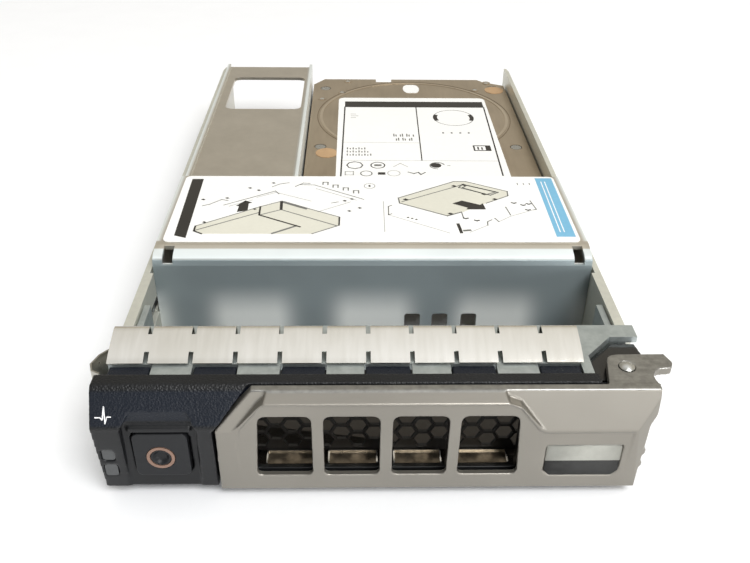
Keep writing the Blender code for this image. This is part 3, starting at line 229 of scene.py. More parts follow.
def painted_light_band(made, axis, middle, half, colour, metallic, fade=0.5):
    """Paints a band along an axis, in millimetres, with another colour and metallic value: painted light and
    shade that stand in for reflections, highlights and shadow.
    """
    nodes, links = made.node_tree.nodes, made.node_tree.links
    shader = nodes["Principled BSDF"]
    base, metal = shader.inputs["Base Color"], shader.inputs["Metallic"]
    place, axes = at_rest(nodes, links)
    away = maths(nodes, links, "SUBTRACT", axes[axis], middle * MM)
    mask = ranged(nodes, links, maths(nodes, links, "ABSOLUTE", away), (half - fade) * MM, half * MM)
    clouds = nodes.new("ShaderNodeTexNoise")
    clouds.inputs["Scale"].default_value = CLOUD_SCALE
    links.new(place, clouds.inputs["Vector"])
    dark, light = (tone(*(value * share for value in colour)) for share in (0.94, 1.06))
    band = mixed(nodes, links, "RGBA", clouds.outputs["Fac"], dark, light)
    links.new(mixed(nodes, links, "RGBA", mask, band, base.links[0].from_socket), base)
    old = metal.links[0].from_socket if metal.links else metal.default_value
    links.new(mixed(nodes, links, "FLOAT", mask, metallic, old), metal)


M = {
    "black_plastic": material("black_plastic", (24, 25, 27), (17, 18, 19), 0.38, bump=0.12, spec=0.3),
    "housing_plastic": material("housing_plastic", (26, 26, 26), (18, 18, 18), 0.2, bump=0.06, coat=0.2),
    "button_plastic": material("button_plastic", (34, 35, 37), (26, 27, 29), 0.4, bump=0.15, spec=0.25),
    "grey_lever": material(
        "grey_lever", (166, 165, 160), (140, 139, 135), 0.34, 0.95, patch=900, grain=1600, bump=0.08,
        stretch=(0.1, 1, 1),
    ),
    "zinc": material("zinc", (190, 197, 196), (170, 178, 177), 0.4, 0.8, patch=500, grain=1500),
    "bright_nickel": material(
        "bright_nickel", (238, 236, 230), (222, 219, 210), 0.22, 1.0, patch=40, grain=900,
        stretch=(1, 0.1, 0.1),
    ),
    "rail_steel": material("rail_steel", (222, 222, 210), (206, 206, 196), 0.4, 0.55, patch=40),
    "galvanised": material(
        "galvanised", (210, 203, 190), (200, 193, 180), 0.36, 0.9, patch=90, grain=500, swing=0.08,
        bump=0.03,
    ),
    "dark_steel": material("dark_steel", (46, 43, 40), (34, 32, 30), 0.5, 0.3),
    "screw_steel": material("screw_steel", (205, 205, 200), (180, 180, 176), 0.28, 1.0),
    "spring_steel": material("spring_steel", (190, 188, 180), (160, 158, 150), 0.3, 1.0),
    "copper": material("copper", (146, 116, 100), (124, 99, 86), 0.4, 0.3),
    "lens_plastic": material("lens_plastic", (62, 64, 65), (50, 52, 53), 0.2, coat=0.5),
    "paper": material("paper", (250, 250, 248), (245, 245, 243), 0.4, patch=30, bump=0.04, coat=0.1),
    "silver_film": material("silver_film", (172, 172, 164), (160, 160, 152), 0.4, 0.3, patch=250),
    "dark_film": material("dark_film", (52, 52, 51), (42, 42, 41), 0.5, patch=400, spec=0.3),
    "cast_base": material("cast_base", (150, 148, 142), (128, 126, 120), 0.5, 0.7, patch=120),
    "bronze_cover": material(
        "bronze_cover", (194, 179, 157), (178, 163, 141), 0.33, 0.9, patch=50, grain=900,
        stretch=(1, 0.1, 1),
    ),
    "platter_mirror": material("platter_mirror", (220, 220, 222), (208, 208, 210), 0.06, 1.0, bump=0.0),
    "aluminium": material("aluminium", (200, 200, 198), (180, 180, 178), 0.3, 1.0),
    "magnet_plate": material("magnet_plate", (180, 180, 178), (150, 150, 148), 0.3, 1.0),
    "board_green": material("board_green", (36, 84, 58), (26, 66, 44), 0.35, patch=400, coat=0.3),
    "seal_rubber": material("seal_rubber", (40, 40, 40), (28, 28, 28), 0.7),
    "ramp_plastic": material("ramp_plastic", (224, 218, 200), (208, 202, 186), 0.4),
    "ink_black": material("ink_black", (40, 37, 32), (32, 29, 25), 0.45),
    "ink_grey": material("ink_grey", (122, 122, 118), (100, 100, 96), 0.45),
    "ink_pale": material("ink_pale", (180, 180, 176), (164, 164, 160), 0.45),
    "ink_beige": material("ink_beige", (222, 220, 206), (215, 213, 199), 0.45),
    "ink_blue": material("ink_blue", (122, 184, 216), (110, 174, 208), 0.4, patch=20),
    "ink_white": material("ink_white", (250, 250, 250), (240, 240, 240), 0.45),
    "ledge_metal": material("ledge_metal", (150, 137, 118), (104, 94, 80), 0.3, 0.8, patch=700, grain=900),
    # Painted highlight and painted shade for the cover's pressed ring
    "pressed_highlight": material("pressed_highlight", (216, 202, 180), (202, 187, 165), 0.3, 0.9),
    "pressed_shade": material("pressed_shade", (150, 134, 112), (138, 122, 101), 0.4, 0.8),
    "tan_disc": material("tan_disc", (200, 166, 126), (186, 152, 114), 0.5, 0.3),
}
leather(M["black_plastic"], GRAIN_STARTS, GRAIN_FULL)

# Painted reflections: the bracket's pale rims, its plate's front, its fold, its wall and the wall's foot
for edge, half in BRACKET_RIMS:
    painted_light_band(M["galvanised"], "X", edge, half, (226, 231, 229), 0.3, 1.2)
painted_light_band(M["galvanised"], "Y", -40.5, 2.5, (206, 200, 187), 0.9)
painted_light_band(M["galvanised"], "Y", -42.6, 1.6, (236, 243, 243), 0.6, 0.3)
painted_light_band(M["galvanised"], "Y", -60.0, 16.2, (148, 160, 163), 0.3)
painted_light_pools(M["galvanised"], WALL_FACE, *WALL_LIGHT_POOLS, (250, 255, 252))
# Painted shade and reflections: the frame's dark foot is painted shade; the lever, darker below its top
# face, and the bezel's blue slope are painted reflections
# Painted shade: zinc darkened around the frame floor's height
painted_light_band(M["zinc"], "Z", 2.3, 0.6, (62, 55, 47), 0.4)
# Painted reflection: the lever darker and less metallic everywhere below its top face
painted_light_band(M["grey_lever"], "Z", 12.0, 13.95, (142, 138, 130), 0.75, 0.15)
# Painted reflection: a blue band on black plastic along the bezel's slope
painted_light_band(M["black_plastic"], "Z", 22.6, 3.0, (19, 24, 33), 0.0)
BY_SLOT = {
    "clear_plastic": "lens_plastic",
    "label_grey": "dark_film",
    "label_white": "paper",
}


def dress(node, name):
    """Gives a CAD node one material, and lets its modifiers shade it."""
    piece = NODES[node]
    if "custom_normal" in piece.data.attributes:
        piece.data.attributes.remove(piece.data.attributes["custom_normal"])
    piece.data.materials.clear()
    piece.data.materials.append(M[name])
    piece.data.polygons.foreach_set("use_smooth", [True] * len(piece.data.polygons))
    piece.data.polygons.foreach_set("material_index", [0] * len(piece.data.polygons))
    weld = piece.modifiers.new("weld", "WELD")
    weld.merge_threshold = 0.002 * MM
    return piece


def bevelled(piece, width, angle=30, segments=2):
    """Flat faces made whole, and their sharp edges rounded."""
    flat = piece.modifiers.new("flat", "DECIMATE")
    flat.decimate_type = "DISSOLVE"
    flat.angle_limit = math.radians(0.5)
    bevel = piece.modifiers.new("bevel", "BEVEL")
    bevel.width = width * MM
    bevel.segments = segments
    bevel.limit_method = "ANGLE"
    bevel.angle_limit = math.radians(angle)
    bevel.use_clamp_overlap = True
    even = piece.modifiers.new("even", "WEIGHTED_NORMAL")
    even.weight = 100


def crisp(piece, angle=35):
    """Flat faces, with an edge wherever they meet at more than the angle."""
    split = piece.modifiers.new("split", "EDGE_SPLIT")
    split.split_angle = math.radians(angle)


def moulded(piece, voxel, rounds):
    """Every edge softened, as on a casting or a moulding."""
    remesh = piece.modifiers.new("remesh", "REMESH")
    remesh.mode = "VOXEL"
    remesh.voxel_size = voxel * MM
    remesh.use_smooth_shade = True
    smooth = piece.modifiers.new("smooth", "SMOOTH")
    smooth.factor = 0.5
    smooth.iterations = rounds


MOULDED = {"lever": (0.2, 4), "bezel": (0.25, 3), "hinge_housing": (0.25, 3), "release_button": (0.16, 5)}
BEVELLED = {
    "adapter_bracket": 0.25, "front_frame": 0.2, "left_rail": 0.25, "right_rail": 0.25,
    "drive_cover": 0.2, "drive_base": 0.3, "circuit_board": 0.1, "sas_connector": 0.1,
}
for subpart in frame["record"]["subparts"]:
    node = subpart["node"]
    slot = subpart["material_slot"]
    name = BY_SLOT.get(slot, slot)
    if node == "hinge_housing":
        name = "housing_plastic"
    if node == "release_button":
        name = "button_plastic"
    piece = dress(node, name)
    if node in MOULDED:
        moulded(piece, *MOULDED[node])
    elif node in BEVELLED:
        bevelled(piece, BEVELLED[node])
    else:
        crisp(piece)


def piece_from(bm, name, body, materials):
    """A finished mesh, riding on a body."""
    bmesh.ops.recalc_face_normals(bm, faces=bm.faces)
    mesh = bpy.data.meshes.new(name)
    bm.to_mesh(mesh)
    bm.free()
    mesh.transform(Matrix.Scale(MM, 4))
    for material_name in materials:
        mesh.materials.append(M[material_name])
    made = bpy.data.objects.new(name, mesh)
    bpy.context.scene.collection.objects.link(made)
    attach(made, body)
    return made


# The shielding strip
def curve_through(points, steps):
    """Points on a smooth line through the given ones."""
    found = []
    last = len(points) - 1
    for i in range(last):
        p0, p1, p2, p3 = (Vector(points[min(max(k, 0), last)]) for k in (i - 1, i, i + 1, i + 2))
        for s in range(steps):
            t = s / steps
            found.append(
                0.5 * (2 * p1 + (p2 - p0) * t + (2 * p0 - 5 * p1 + 4 * p2 - p3) * t * t
                       + (3 * p1 - p0 - 3 * p2 + p3) * t ** 3)
            )
    found.append(Vector(points[last]))
    return found


def emi_strip():
    """The bright spring-finger strip, slotted from both edges, as one bent sheet."""
    line = curve_through(GASKET_LINE, 5)
    stops = [GASKET_X[0]]
    for i in range(FINGERS):
        middle = FINGER_FIRST + i * FINGER_PITCH
        stops += [middle - SLOT_HALF, middle + SLOT_HALF]
    stops.append(GASKET_X[1])
    bm = bmesh.new()
    grid = [[bm.verts.new((x, p[0], p[1])) for p in line] for x in stops]
    for i in range(len(stops) - 1):
        for j in range(len(line) - 1):
            middle = (line[j][0] + line[j + 1][0]) / 2
            slotted = i % 2 == 1
            if slotted and (middle < FRONT_SLOT_END or middle > REAR_SLOT_START):
                continue
            bm.faces.new((grid[i][j], grid[i + 1][j], grid[i + 1][j + 1], grid[i][j + 1]))
    for face in bm.faces:
        face.smooth = True
    made = piece_from(bm, "shield_strip", "carrier", ["bright_nickel"])
    thick = made.modifiers.new("thick", "SOLIDIFY")
    thick.thickness = 0.25 * MM
    thick.offset = 0
    crisp(made, 50)
    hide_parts("emi_gasket")


emi_strip()


# Printing: closed films that lie on a label
def prism(bm, outline, low, high, index=0):
    """A closed solid between two heights over an outline."""
    bottom = [bm.verts.new((x, y, low)) for x, y in outline]
    top = [bm.verts.new((x, y, high)) for x, y in outline]
    count = len(outline)
    faces = [bm.faces.new(bottom[::-1]), bm.faces.new(top)]
    for i in range(count):
        j = (i + 1) % count
        faces.append(bm.faces.new((bottom[i], bottom[j], top[j], top[i])))
    for face in faces:
        face.material_index = index


def bar(bm, x0, x1, y0, y1, low, index=0, high=None):
    """A closed box, one layer of ink high unless a top is given."""
    prism(bm, ((x0, y0), (x1, y0), (x1, y1), (x0, y1)), low, low + INK if high is None else high, index)


def stroke(bm, points, width, low, index=0):
    """A line of even width through the points."""
    for (x0, y0), (x1, y1) in zip(points, points[1:]):
        along = Vector((x1 - x0, y1 - y0)).normalized()
        side = Vector((-along.y, along.x)) * width * 0.65
        end = along * width / 2
        corners = [
            (x0 - side.x - end.x, y0 - side.y - end.y), (x1 - side.x + end.x, y1 - side.y + end.y),
            (x1 + side.x + end.x, y1 + side.y + end.y), (x0 + side.x - end.x, y0 + side.y - end.y),
        ]
        prism(bm, corners, low, low + INK, index)


def ring(bm, x, y, inner, outer, low, high, index=0, count=48, start=0, turn=360):
    """A flat ring, or a part of one."""
    whole = turn == 360
    rows = []
    for k in range(count + (0 if whole else 1)):
        angle = math.radians(start + turn * k / count)
        c, s = math.cos(angle), math.sin(angle)
        rows.append([
            bm.verts.new((x + radius * c, y + radius * s, z))
            for radius, z in ((inner, low), (outer, low), (outer, high), (inner, high))
        ])
    pairs = list(zip(rows, rows[1:] + rows[:1] if whole else rows[1:]))
    for a, b in pairs:
        for k in range(4):
            j = (k + 1) % 4
            bm.faces.new((a[k], a[j], b[j], b[k])).material_index = index
    if not whole:
        bm.faces.new(rows[0]).material_index = index
        bm.faces.new(rows[-1][::-1]).material_index = index


def disc(bm, x, y, radius, low, high, index=0, count=32):
    """A flat closed disc."""
    outline = [
        (x + radius * math.cos(math.tau * k / count), y + radius * math.sin(math.tau * k / count))
        for k in range(count)
    ]
    prism(bm, outline, low, high, index)


def bracket_print():
    """The drawings, arrows and bars on the bracket's sticker."""
    black, blue, beige, white, grey, pale = range(6)
    low = BRACKET_LABEL_TOP
    bm = bmesh.new()
    prism(bm, ((-47.6, -6.1), (-44.6, -6.1), (-44.2, -37.2), (-47.1, -36.0)), low, low + INK, black)
    prism(bm, ((44.1, -5.2), (48.6, -5.2), (48.4, -36.5), (43.8, -36.5)), low, low + INK, blue)
    # First drawing: a bracket in its tray, with the arrow that lifts it in
    tray = (
        (-42.8, -31.5), (-28.1, -21.6), (-28.0, -26.0), (-18.5, -31.6), (-24.1, -35.2), (-40.8, -35.2),
        (-42.8, -33.9),
    )
    prism(bm, tray, low, low + INK, beige)
    stroke(bm, ((-42.8, -31.5), (-28.1, -21.6)), 0.22, low + INK, grey)
    stroke(bm, ((-42.6, -33.6), (-28.0, -24.6)), 0.25, low + INK, grey)
    stroke(bm, ((-42.8, -31.5), (-42.8, -33.9), (-40.8, -35.2)), 0.35, low + INK, black)
    body = (
        (-28.1, -21.6), (-23.0, -18.7), (-8.1, -27.0), (-8.2, -31.1), (-14.6, -35.2), (-24.1, -35.2),
        (-18.5, -31.6), (-28.0, -26.0),
    )
    prism(bm, body, low, low + INK, beige)
    stroke(
        bm, ((-28.1, -21.6), (-23.0, -18.7), (-8.1, -27.0), (-8.2, -31.1), (-14.6, -35.2)), 0.22,
        low + INK, grey,
    )
    stroke(bm, ((-28.0, -26.0), (-22.8, -23.2), (-8.8, -31.3)), 0.25, low + INK, grey)
    stroke(bm, ((-28.1, -21.6), (-28.0, -26.0), (-17.6, -31.9)), 0.35, low + 2 * INK, black)
    stroke(bm, ((-18.5, -31.4), (-24.1, -35.1)), 0.45, low + 2 * INK, grey)
    stroke(bm, ((-23.0, -18.9), (-22.8, -22.9)), 0.55, low + 2 * INK, black)
    stroke(bm, ((-8.2, -27.2), (-8.2, -31.0)), 0.3, low + 2 * INK, black)
    stroke(bm, ((-22.4, -19.2), (-16.6, -22.6)), 0.7, low + 2 * INK, grey)
    arrow = (
        (-33.7, -24.4), (-31.1, -23.7), (-31.2, -20.0), (-30.4, -19.4), (-32.2, -18.3), (-34.3, -21.2),
        (-33.5, -21.4),
    )
    prism(bm, arrow, low, low + INK, black)
    for line in (
        ((-37.4, -20.8), (-25.0, -13.0), (-24.0, -14.6)), ((-18.7, -9.3), (-15.0, -9.5), (-2.1, -17.6)),
        ((-20.0, -10.4), (-18.0, -8.4), (-16.2, -8.6)),
        ((-42.7, -21.2), (-41.0, -20.4), (-38.3, -17.8), (-36.6, -18.4)),
        ((-26.0, -10.6), (-24.2, -9.0), (-21.8, -8.2)), ((-10.3, -19.6), (-8.6, -19.0)),
    ):
        stroke(bm, line, 0.2, low, grey)
    for line in (
        ((-29.5, -16.6), (-24.8, -13.8), (-15.5, -18.6)), ((-36.0, -21.4), (-30.5, -18.0)),
        ((-13.5, -24.2), (-5.5, -19.0)),
        ((-14.5, -11.6), (-4.0, -18.0)),
    ):
        stroke(bm, line, 0.15, low, pale)
    for k in range(4):
        x, y = -12.0 + 2.7 * k, -8.4 - 1.6 * k
        stroke(
            bm, ((x - 0.8, y - 0.9), (x - 0.8, y + 0.5), (x + 0.5, y + 0.5), (x + 0.5, y - 1.0)), 0.25,
            low, grey,
        )
    for x, y in (
        (-43.0, -17.8), (-31.8, -11.3), (-29.4, -12.6), (-25.9, -8.4), (-5.8, -23.8), (-3.2, -22.2),
        (-41.0, -29.6),
        (-29.5, -22.9), (-7.0, -18.4), (-5.2, -17.4), (-37.0, -17.0),
    ):
        prism(
            bm, ((x - 0.5, y), (x, y + 0.35), (x + 0.6, y - 0.1), (x + 0.1, y - 0.45)), low + 2 * INK,
            low + 3 * INK, black,
        )
    ring(bm, -0.5, -10.0, 1.35, 1.5, low, low + INK, grey, 32)
    bar(bm, -0.75, -0.25, -10.5, -9.5, low, black)
    stroke(bm, ((2.9, -18.7), (2.8, -34.2)), 0.15, low, pale)
    # Second drawing: the drive sliding into the bracket
    body = (
        (6.8, -16.8), (22.0, -7.3), (25.2, -7.3), (35.5, -13.0), (35.3, -15.5), (29.1, -19.6),
        (22.6, -24.4), (18.6, -26.3), (7.0, -19.6),
    )
    prism(bm, body, low, low + INK, beige)
    stroke(
        bm,
        (
            (18.6, -26.3), (7.0, -19.6), (6.8, -16.8), (22.0, -7.3), (25.2, -7.3), (35.5, -13.0),
            (35.3, -15.5), (29.1, -19.6),
        ),
        0.25, low + INK, grey,
    )
    stroke(bm, ((18.6, -26.3), (22.3, -24.3)), 0.3, low + INK, grey)
    stroke(bm, ((7.6, -18.9), (21.5, -10.8), (24.5, -8.8)), 0.22, low + INK, grey)
    for inset in (0.0, 1.0):
        corners = (
            (24.2 + inset, -9.0 - inset * 0.6), (33.0 - inset * 0.6, -13.6 + inset * 0.2),
            (30.8 - inset, -15.2 + inset * 0.4), (23.0 + inset, -10.8 - inset * 0.2),
            (24.2 + inset, -9.0 - inset * 0.6),
        )
        stroke(bm, corners, 0.3, low + 2 * INK, grey)
    for x, y in ((8.6, -17.6), (21.8, -10.0), (24.6, -9.4), (19.4, -25.2), (31.6, -17.4), (29.2, -14.6)):
        prism(
            bm, ((x - 0.7, y), (x, y + 0.5), (x + 0.8, y - 0.1), (x + 0.1, y - 0.6)), low + 3 * INK,
            low + 4 * INK, black,
        )
    arrow = (
        (20.5, -19.8), (23.0, -18.3), (27.4, -20.6), (28.2, -19.8), (28.6, -22.9), (23.7, -22.9),
        (24.2, -22.1),
    )
    prism(bm, arrow, low + 4 * INK, low + 5 * INK, black)
    for line in (
        ((4.8, -25.2), (4.0, -25.8), (4.1, -21.4), (4.9, -20.8)), ((22.3, -24.3), (22.5, -27.6)),
        ((40.6, -18.2), (41.4, -22.8), (40.6, -23.1)),
        ((33.8, -21.6), (34.4, -25.8)), ((28.0, -31.0), (28.2, -29.2), (29.4, -28.2)),
        ((30.2, -27.4), (31.0, -29.2)),
    ):
        stroke(bm, line, 0.22, low, grey)
    for line in (
        ((4.0, -25.8), (18.4, -34.8)), ((23.2, -34.5), (28.0, -31.0)),
        ((31.0, -29.2), (34.4, -26.4), (40.6, -23.1)),
    ):
        stroke(bm, line, 0.14, low, pale)
    for k in range(3):
        prism(
            bm,
            (
                (8.4 + k, -27.0 - k / 2), (8.9 + k, -26.8 - k / 2), (9.1 + k, -27.2 - k / 2),
                (8.6 + k, -27.4 - k / 2),
            ),
            low, low + INK, black,
        )
    stroke(bm, ((20.8, -30.4), (21.2, -34.6)), 0.6, low, black)
    stroke(bm, ((22.0, -33.6), (23.4, -33.4)), 0.6, low, grey)
    for x, y in ((25.6, -28.6), (23.0, -27.5), (38.4, -20.5), (39.2, -23.1), (36.2, -19.4), (39.9, -19.9)):
        stroke(bm, ((x - 0.5, y + 0.2), (x, y - 0.2), (x + 0.6, y + 0.1)), 0.35, low, black)
    for x in (38.9, 40.5, 42.1):
        bar(bm, x - 0.12, x + 0.12, -9.2, -8.1, low, grey)
    for k in range(2):
        stroke(bm, ((45.4 + k, -7.4), (45.1 + k, -34.2)), 0.2, low + INK, white)
    piece_from(
        bm, "bracket_label_print", "carrier",
        ["ink_black", "ink_blue", "ink_beige", "ink_white", "ink_grey", "ink_pale"],
    )


bracket_print()


def drive_print():
    """The frame, rings and plain marks on the drive's label."""
    black, grey, pale = range(3)
    low = DRIVE_LABEL_TOP
    bm = bmesh.new()
    bar(bm, -7.8, 40.4, 66.7, 72.0, low, black)
    stroke(bm, ((-7.8, 67.0), (-8.5, 12.8)), 0.35, low + INK, black)
    stroke(bm, ((40.4, 67.0), (39.2, 13.4)), 0.35, low + INK, black)
    stroke(bm, ((16.8, 66.7), (16.0, 23.7)), 0.28, low, black)
    stroke(bm, ((-8.3, 37.0), (16.1, 36.6)), 0.12, low, pale)
    stroke(bm, ((-8.4, 23.6), (39.2, 23.4)), 0.14, low, pale)
    ring(bm, 28.9, 57.5, 6.6, 6.85, low, low + INK, grey, 64)
    for start in (-24, 156):
        ring(bm, 28.9, 57.5, 5.5, 6.9, low + INK, low + 2 * INK, black, 12, start, 48)
    for k in range(3):
        bar(bm, -5.8, -4.0 + 0.8 * (k % 2), 60.2 - 1.6 * k, 60.6 - 1.6 * k, low, pale)
    for k in range(10):
        for j in range(2):
            if (k + j) % 3:
                bar(
                    bm, 8.0 + 0.7 * k, 8.4 + 0.7 * k, 38.4 + 3.2 * j, 40.6 + 3.2 * j - 0.6 * (k % 2),
                    low, grey,
                )
    for j in range(3):
        for k in range(9 - j):
            bar(
                bm, -6.9 + 0.9 * k, -6.5 + 0.9 * k, 27.0 + 2.3 * j, 28.4 + 2.3 * j - 0.5 * (k % 2), low,
                grey,
            )
    for k in range(4):
        bar(bm, 24.0 + 2.8 * k, 24.6 + 2.8 * k, 44.2, 45.2, low, grey)
    stroke(bm, ((33.0, 31.0), (33.0, 34.6), (38.0, 34.6), (38.0, 31.0), (33.0, 31.0)), 0.4, low, black)
    bar(bm, 36.6, 38.0, 31.0, 34.6, low + INK, black)
    bar(bm, 34.0, 34.5, 31.6, 33.8, low, black)
    bar(bm, 35.2, 35.7, 31.6, 33.4, low, black)
    ring(bm, -4.4, 20.2, 2.2, 2.6, low, low + INK, black, 8)
    ring(bm, 2.5, 20.2, 1.9, 2.25, low, low + INK, black, 24)
    bar(bm, 1.4, 3.6, 19.6, 20.8, low, grey)
    stroke(bm, ((7.2, 19.2), (9.3, 21.6), (11.4, 19.2)), 0.2, low, pale)
    disc(bm, 20.0, 20.2, 1.6, low, low + INK, black)
    ring(bm, 20.4, 20.0, 2.0, 2.4, low, low + INK, grey, 20, 20, 250)
    bar(bm, 23.4, 24.3, 19.9, 20.2, low, grey)
    stroke(bm, ((-7.2, 13.6), (-4.8, 13.6), (-4.8, 15.8), (-7.2, 15.8), (-7.2, 13.6)), 0.25, low, pale)
    ring(bm, -1.0, 14.6, 1.5, 1.85, low, low + INK, grey, 24)
    bar(bm, 2.4, 4.6, 13.8, 15.4, low, black)
    ring(bm, 7.1, 14.8, 1.7, 1.95, low, low + INK, pale, 24)
    stroke(bm, ((11.4, 15.6), (13.0, 14.6), (14.4, 15.4), (15.0, 14.0), (16.4, 15.4)), 0.35, low, grey)
    piece_from(
        bm, "drive_label_print", "carrier", ["ink_black", "ink_grey", "ink_pale"],
    )


drive_print()


def reflection_split_label():
    """The lever's sticker: a silver upper half on a dark lower one, a painted reflection split across it."""
    bm = bmesh.new()
    bm.from_mesh(NODES["lever_label"].data)
    bmesh.ops.remove_doubles(bm, verts=bm.verts, dist=0.002 * MM)
    everything = bm.verts[:] + bm.edges[:] + bm.faces[:]
    bmesh.ops.bisect_plane(bm, geom=everything, plane_co=(0, 0, LABEL_SPLIT * MM), plane_no=(0, 0, 1))
    for face in bm.faces:
        face.material_index = 0 if face.calc_center_median().z > LABEL_SPLIT * MM else 1
    bmesh.ops.scale(bm, vec=(1 / MM,) * 3, verts=bm.verts)
    made = piece_from(bm, "lever_sticker", "lever", ["silver_film", "dark_film"])
    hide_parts("lever_label")


reflection_split_label()


def activity_mark():
    """A plain zigzag beside the indicator lights, printed on the bezel's slope."""
    foot, brow = Vector(BEZEL_BEND), Vector(BEZEL_BROW)
    along = (brow - foot).normalized()
    out = Vector((-along.y, along.x)) * 0.03
    bm = bmesh.new()
    line = (
        (-51.5, 2.1), (-50.5, 2.1), (-50.1, 1.6), (-49.85, 4.2), (-49.6, 0.9), (-49.3, 2.2),
        (-48.5, 2.2),
    )
    half = 0.1
    for (x0, t0), (x1, t1) in zip(line, line[1:]):
        step = Vector((x1 - x0, t1 - t0)).normalized()
        side = Vector((-step.y, step.x)) * half
        corners = [
            (x0 - side.x, t0 - side.y), (x1 - side.x, t1 - side.y), (x1 + side.x, t1 + side.y),
            (x0 + side.x, t0 + side.y),
        ]
        low = [bm.verts.new((x, *(foot + along * t))) for x, t in corners]
        high = [bm.verts.new((x, *(foot + along * t + out))) for x, t in corners]
        bm.faces.new(low[::-1])
        bm.faces.new(high)
        for i in range(4):
            j = (i + 1) % 4
            bm.faces.new((low[i], low[j], high[j], high[i]))
    piece_from(bm, "activity_mark", "carrier", ["ink_white"])


activity_mark()


def frame_ledges():
    """The bright-edged pocket of the frame's floor behind each window."""
    bm = bmesh.new()
    for x0, x1 in WINDOWS:
        front, rear = LEDGE_Y
        for left, right, near, far, high, index in (
            (x0, x1, front, rear, 0.1, 0),
            (x0, x0 + 0.3, front, rear, 0.5, 1), (x1 - 0.3, x1, front, rear, 0.5, 1),
            (x0, x1, rear - 0.25, rear, 0.5, 1),
        ):
            bar(bm, left, right, near, far, LEDGE_Z, index, LEDGE_Z + high)
    piece_from(bm, "frame_ledges", "carrier", ["ledge_metal", "bright_nickel"])


frame_ledges()


def cover_relief():
    """The pressed ring and dimples of the drive's cover; the ring is raised a little and carries a painted
    highlight ring beside a painted shade ring.
    """
    bronze, tan, nickel, white, line, shade = range(6)
    bm = bmesh.new()
    low, high = COVER_TOP - 0.05, COVER_TOP + 0.12
    # Painted highlight ring, then a painted shade ring just outside it
    ring(bm, *SPINDLE_AT, 30.9, 31.8, low, high, line, 96)
    ring(bm, *SPINDLE_AT, 32.4, 32.7, low, high - 0.05, shade, 96)
    for x, y in ((-9.0, 81.4), (-16.0, 75.0), (39.4, 84.4), (-6.9, 92.8), (44.5, 91.6)):
        ring(bm, x, y, 0.9, 1.5, low, high, bronze, 24)
        disc(bm, x, y, 0.8, low, high - 0.04, nickel)
    disc(bm, -13.1, 29.2, 3.4, low, high, tan)
    disc(bm, 46.4, 84.0, 3.4, low, high, tan)
    oval = []
    for x, start in ((14.9, 0.5), (17.2, 1.5)):
        turns = [math.pi * (start + k / 12) for k in range(13)]
        oval += [(x + 1.8 * math.cos(a), 84.9 + 4.0 * math.sin(a)) for a in turns]
    prism(bm, oval, low, high, white)
    piece_from(
        bm, "cover_relief", "carrier",
        ["bronze_cover", "tan_disc", "bright_nickel", "paper", "pressed_highlight", "pressed_shade"],
    )


cover_relief()


# Camera, floor and light
FLOOR_HALF = 6.0
GLOW_FROM_TO = (0.6, 3.0)
GLOW = 0.5
SKY_BEHIND = ((0.0, (196, 180, 154)), (0.3, (176, 176, 172)), (0.6, (190, 182, 166)), (1.0, (255, 255, 255)))
SKY_AHEAD = (
    (0.0, (250, 252, 255)), (0.05, (240, 242, 245)), (0.16, (124, 127, 132)), (1.0, (176, 176, 172)),
)
SKY_STRENGTH = (0.7, 1.4)


def camera():
    """A camera at the photograph's place, turned by yaw, pitch and roll."""
    data = bpy.data.cameras.new("camera")
    data.sensor_width = 36
    data.lens = LENS
    data.shift_x, data.shift_y = SHIFT
    data.clip_start = 0.01
    made = bpy.data.objects.new("camera", data)
    bpy.context.scene.collection.objects.link(made)
    bpy.context.scene.camera = made
    ahead = Vector((math.sin(YAW) * math.cos(PITCH), math.cos(YAW) * math.cos(PITCH), math.sin(PITCH)))
    right = Vector((math.cos(YAW), -math.sin(YAW), 0))
    up = right.cross(ahead)
    turned_right = right * math.cos(ROLL) + up * math.sin(ROLL)
    turned_up = up * math.cos(ROLL) - right * math.sin(ROLL)
    basis = Matrix((turned_right, turned_up, -ahead)).transposed().to_4x4()
    made.matrix_world = Matrix.Translation(CAMERA_AT) @ basis


def area_light(name, at, aim, size, power, colour=(1, 1, 1)):
    """A rectangular lamp, aimed at a point."""
    data = bpy.data.lights.new(name, "AREA")
    data.shape = "RECTANGLE"
    data.size, data.size_y = size
    data.energy = power
    data.color = colour
    made = bpy.data.objects.new(name, data)
    bpy.context.scene.collection.objects.link(made)
    made.location = at
    made.rotation_euler = (Vector(aim) - Vector(at)).to_track_quat("-Z", "Y").to_euler()


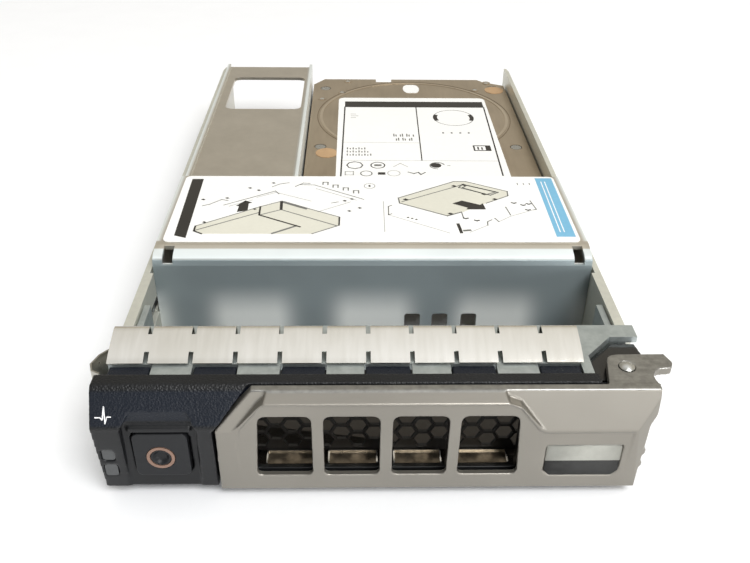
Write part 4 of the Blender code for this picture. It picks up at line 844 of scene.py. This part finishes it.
def floor():
    """A plain white floor that glows a little far away, where the lights don't reach."""
    bm = bmesh.new()
    bmesh.ops.create_grid(bm, x_segments=1, y_segments=1, size=FLOOR_HALF)
    mesh = bpy.data.meshes.new("floor")
    bm.to_mesh(mesh)
    bm.free()
    made = bpy.data.objects.new("floor", mesh)
    bpy.context.scene.collection.objects.link(made)
    white = material("floor", (251, 252, 254), (249, 250, 252), 0.8, bump=0.0, spec=0.1)
    mesh.materials.append(white)
    nodes, links = white.node_tree.nodes, white.node_tree.links
    far = nodes.new("ShaderNodeVectorMath")
    far.operation = "LENGTH"
    links.new(nodes.new("ShaderNodeTexCoord").outputs["Object"], far.inputs["Vector"])
    surface = nodes["Principled BSDF"]
    surface.inputs["Emission Color"].default_value = (1.0, 1.0, 1.0, 1.0)
    glow = ranged(nodes, links, far.outputs["Value"], *GLOW_FROM_TO, top=GLOW)
    links.new(glow, surface.inputs["Emission Strength"])


def ramp(nodes, links, value, stops):
    """Colours by height; the first and last stops are the ramp's own ends."""
    made = nodes.new("ShaderNodeValToRGB")
    links.new(value, made.inputs["Fac"])
    elements = made.color_ramp.elements
    for position, colour in stops:
        if position in (0.0, 1.0):
            stop = elements[-int(position)]
        else:
            stop = elements.new(position)
        stop.color = tone(*colour)
    return made.outputs["Color"]


def backdrop():
    """A warm room behind, a bright one with a dark band in front, and more light from the right."""
    world = bpy.data.worlds.new("studio")
    bpy.context.scene.world = world
    world.use_nodes = True
    nodes, links = world.node_tree.nodes, world.node_tree.links
    split = nodes.new("ShaderNodeSeparateXYZ")
    links.new(nodes.new("ShaderNodeTexCoord").outputs["Generated"], split.inputs["Vector"])
    axes = split.outputs
    behind = ramp(nodes, links, axes["Z"], SKY_BEHIND)
    ahead = ramp(nodes, links, axes["Z"], SKY_AHEAD)
    front = ranged(nodes, links, axes["Y"], 0.1, -0.5, smooth=True)
    background = nodes["Background"]
    links.new(mixed(nodes, links, "RGBA", front, behind, ahead), background.inputs["Color"])
    links.new(ranged(nodes, links, axes["X"], -1.0, 1.0, *SKY_STRENGTH), background.inputs["Strength"])


camera()
floor()
backdrop()
area_light("key", (0.5, -0.9, 1.3), (0, 0, 0), (0.9, 0.9), 23)
area_light("front", (0.8, -1.6, 0.12), (0, 0, 0), (1.8, 0.22), 8)
bpy.context.scene.view_settings.view_transform = "Standard"
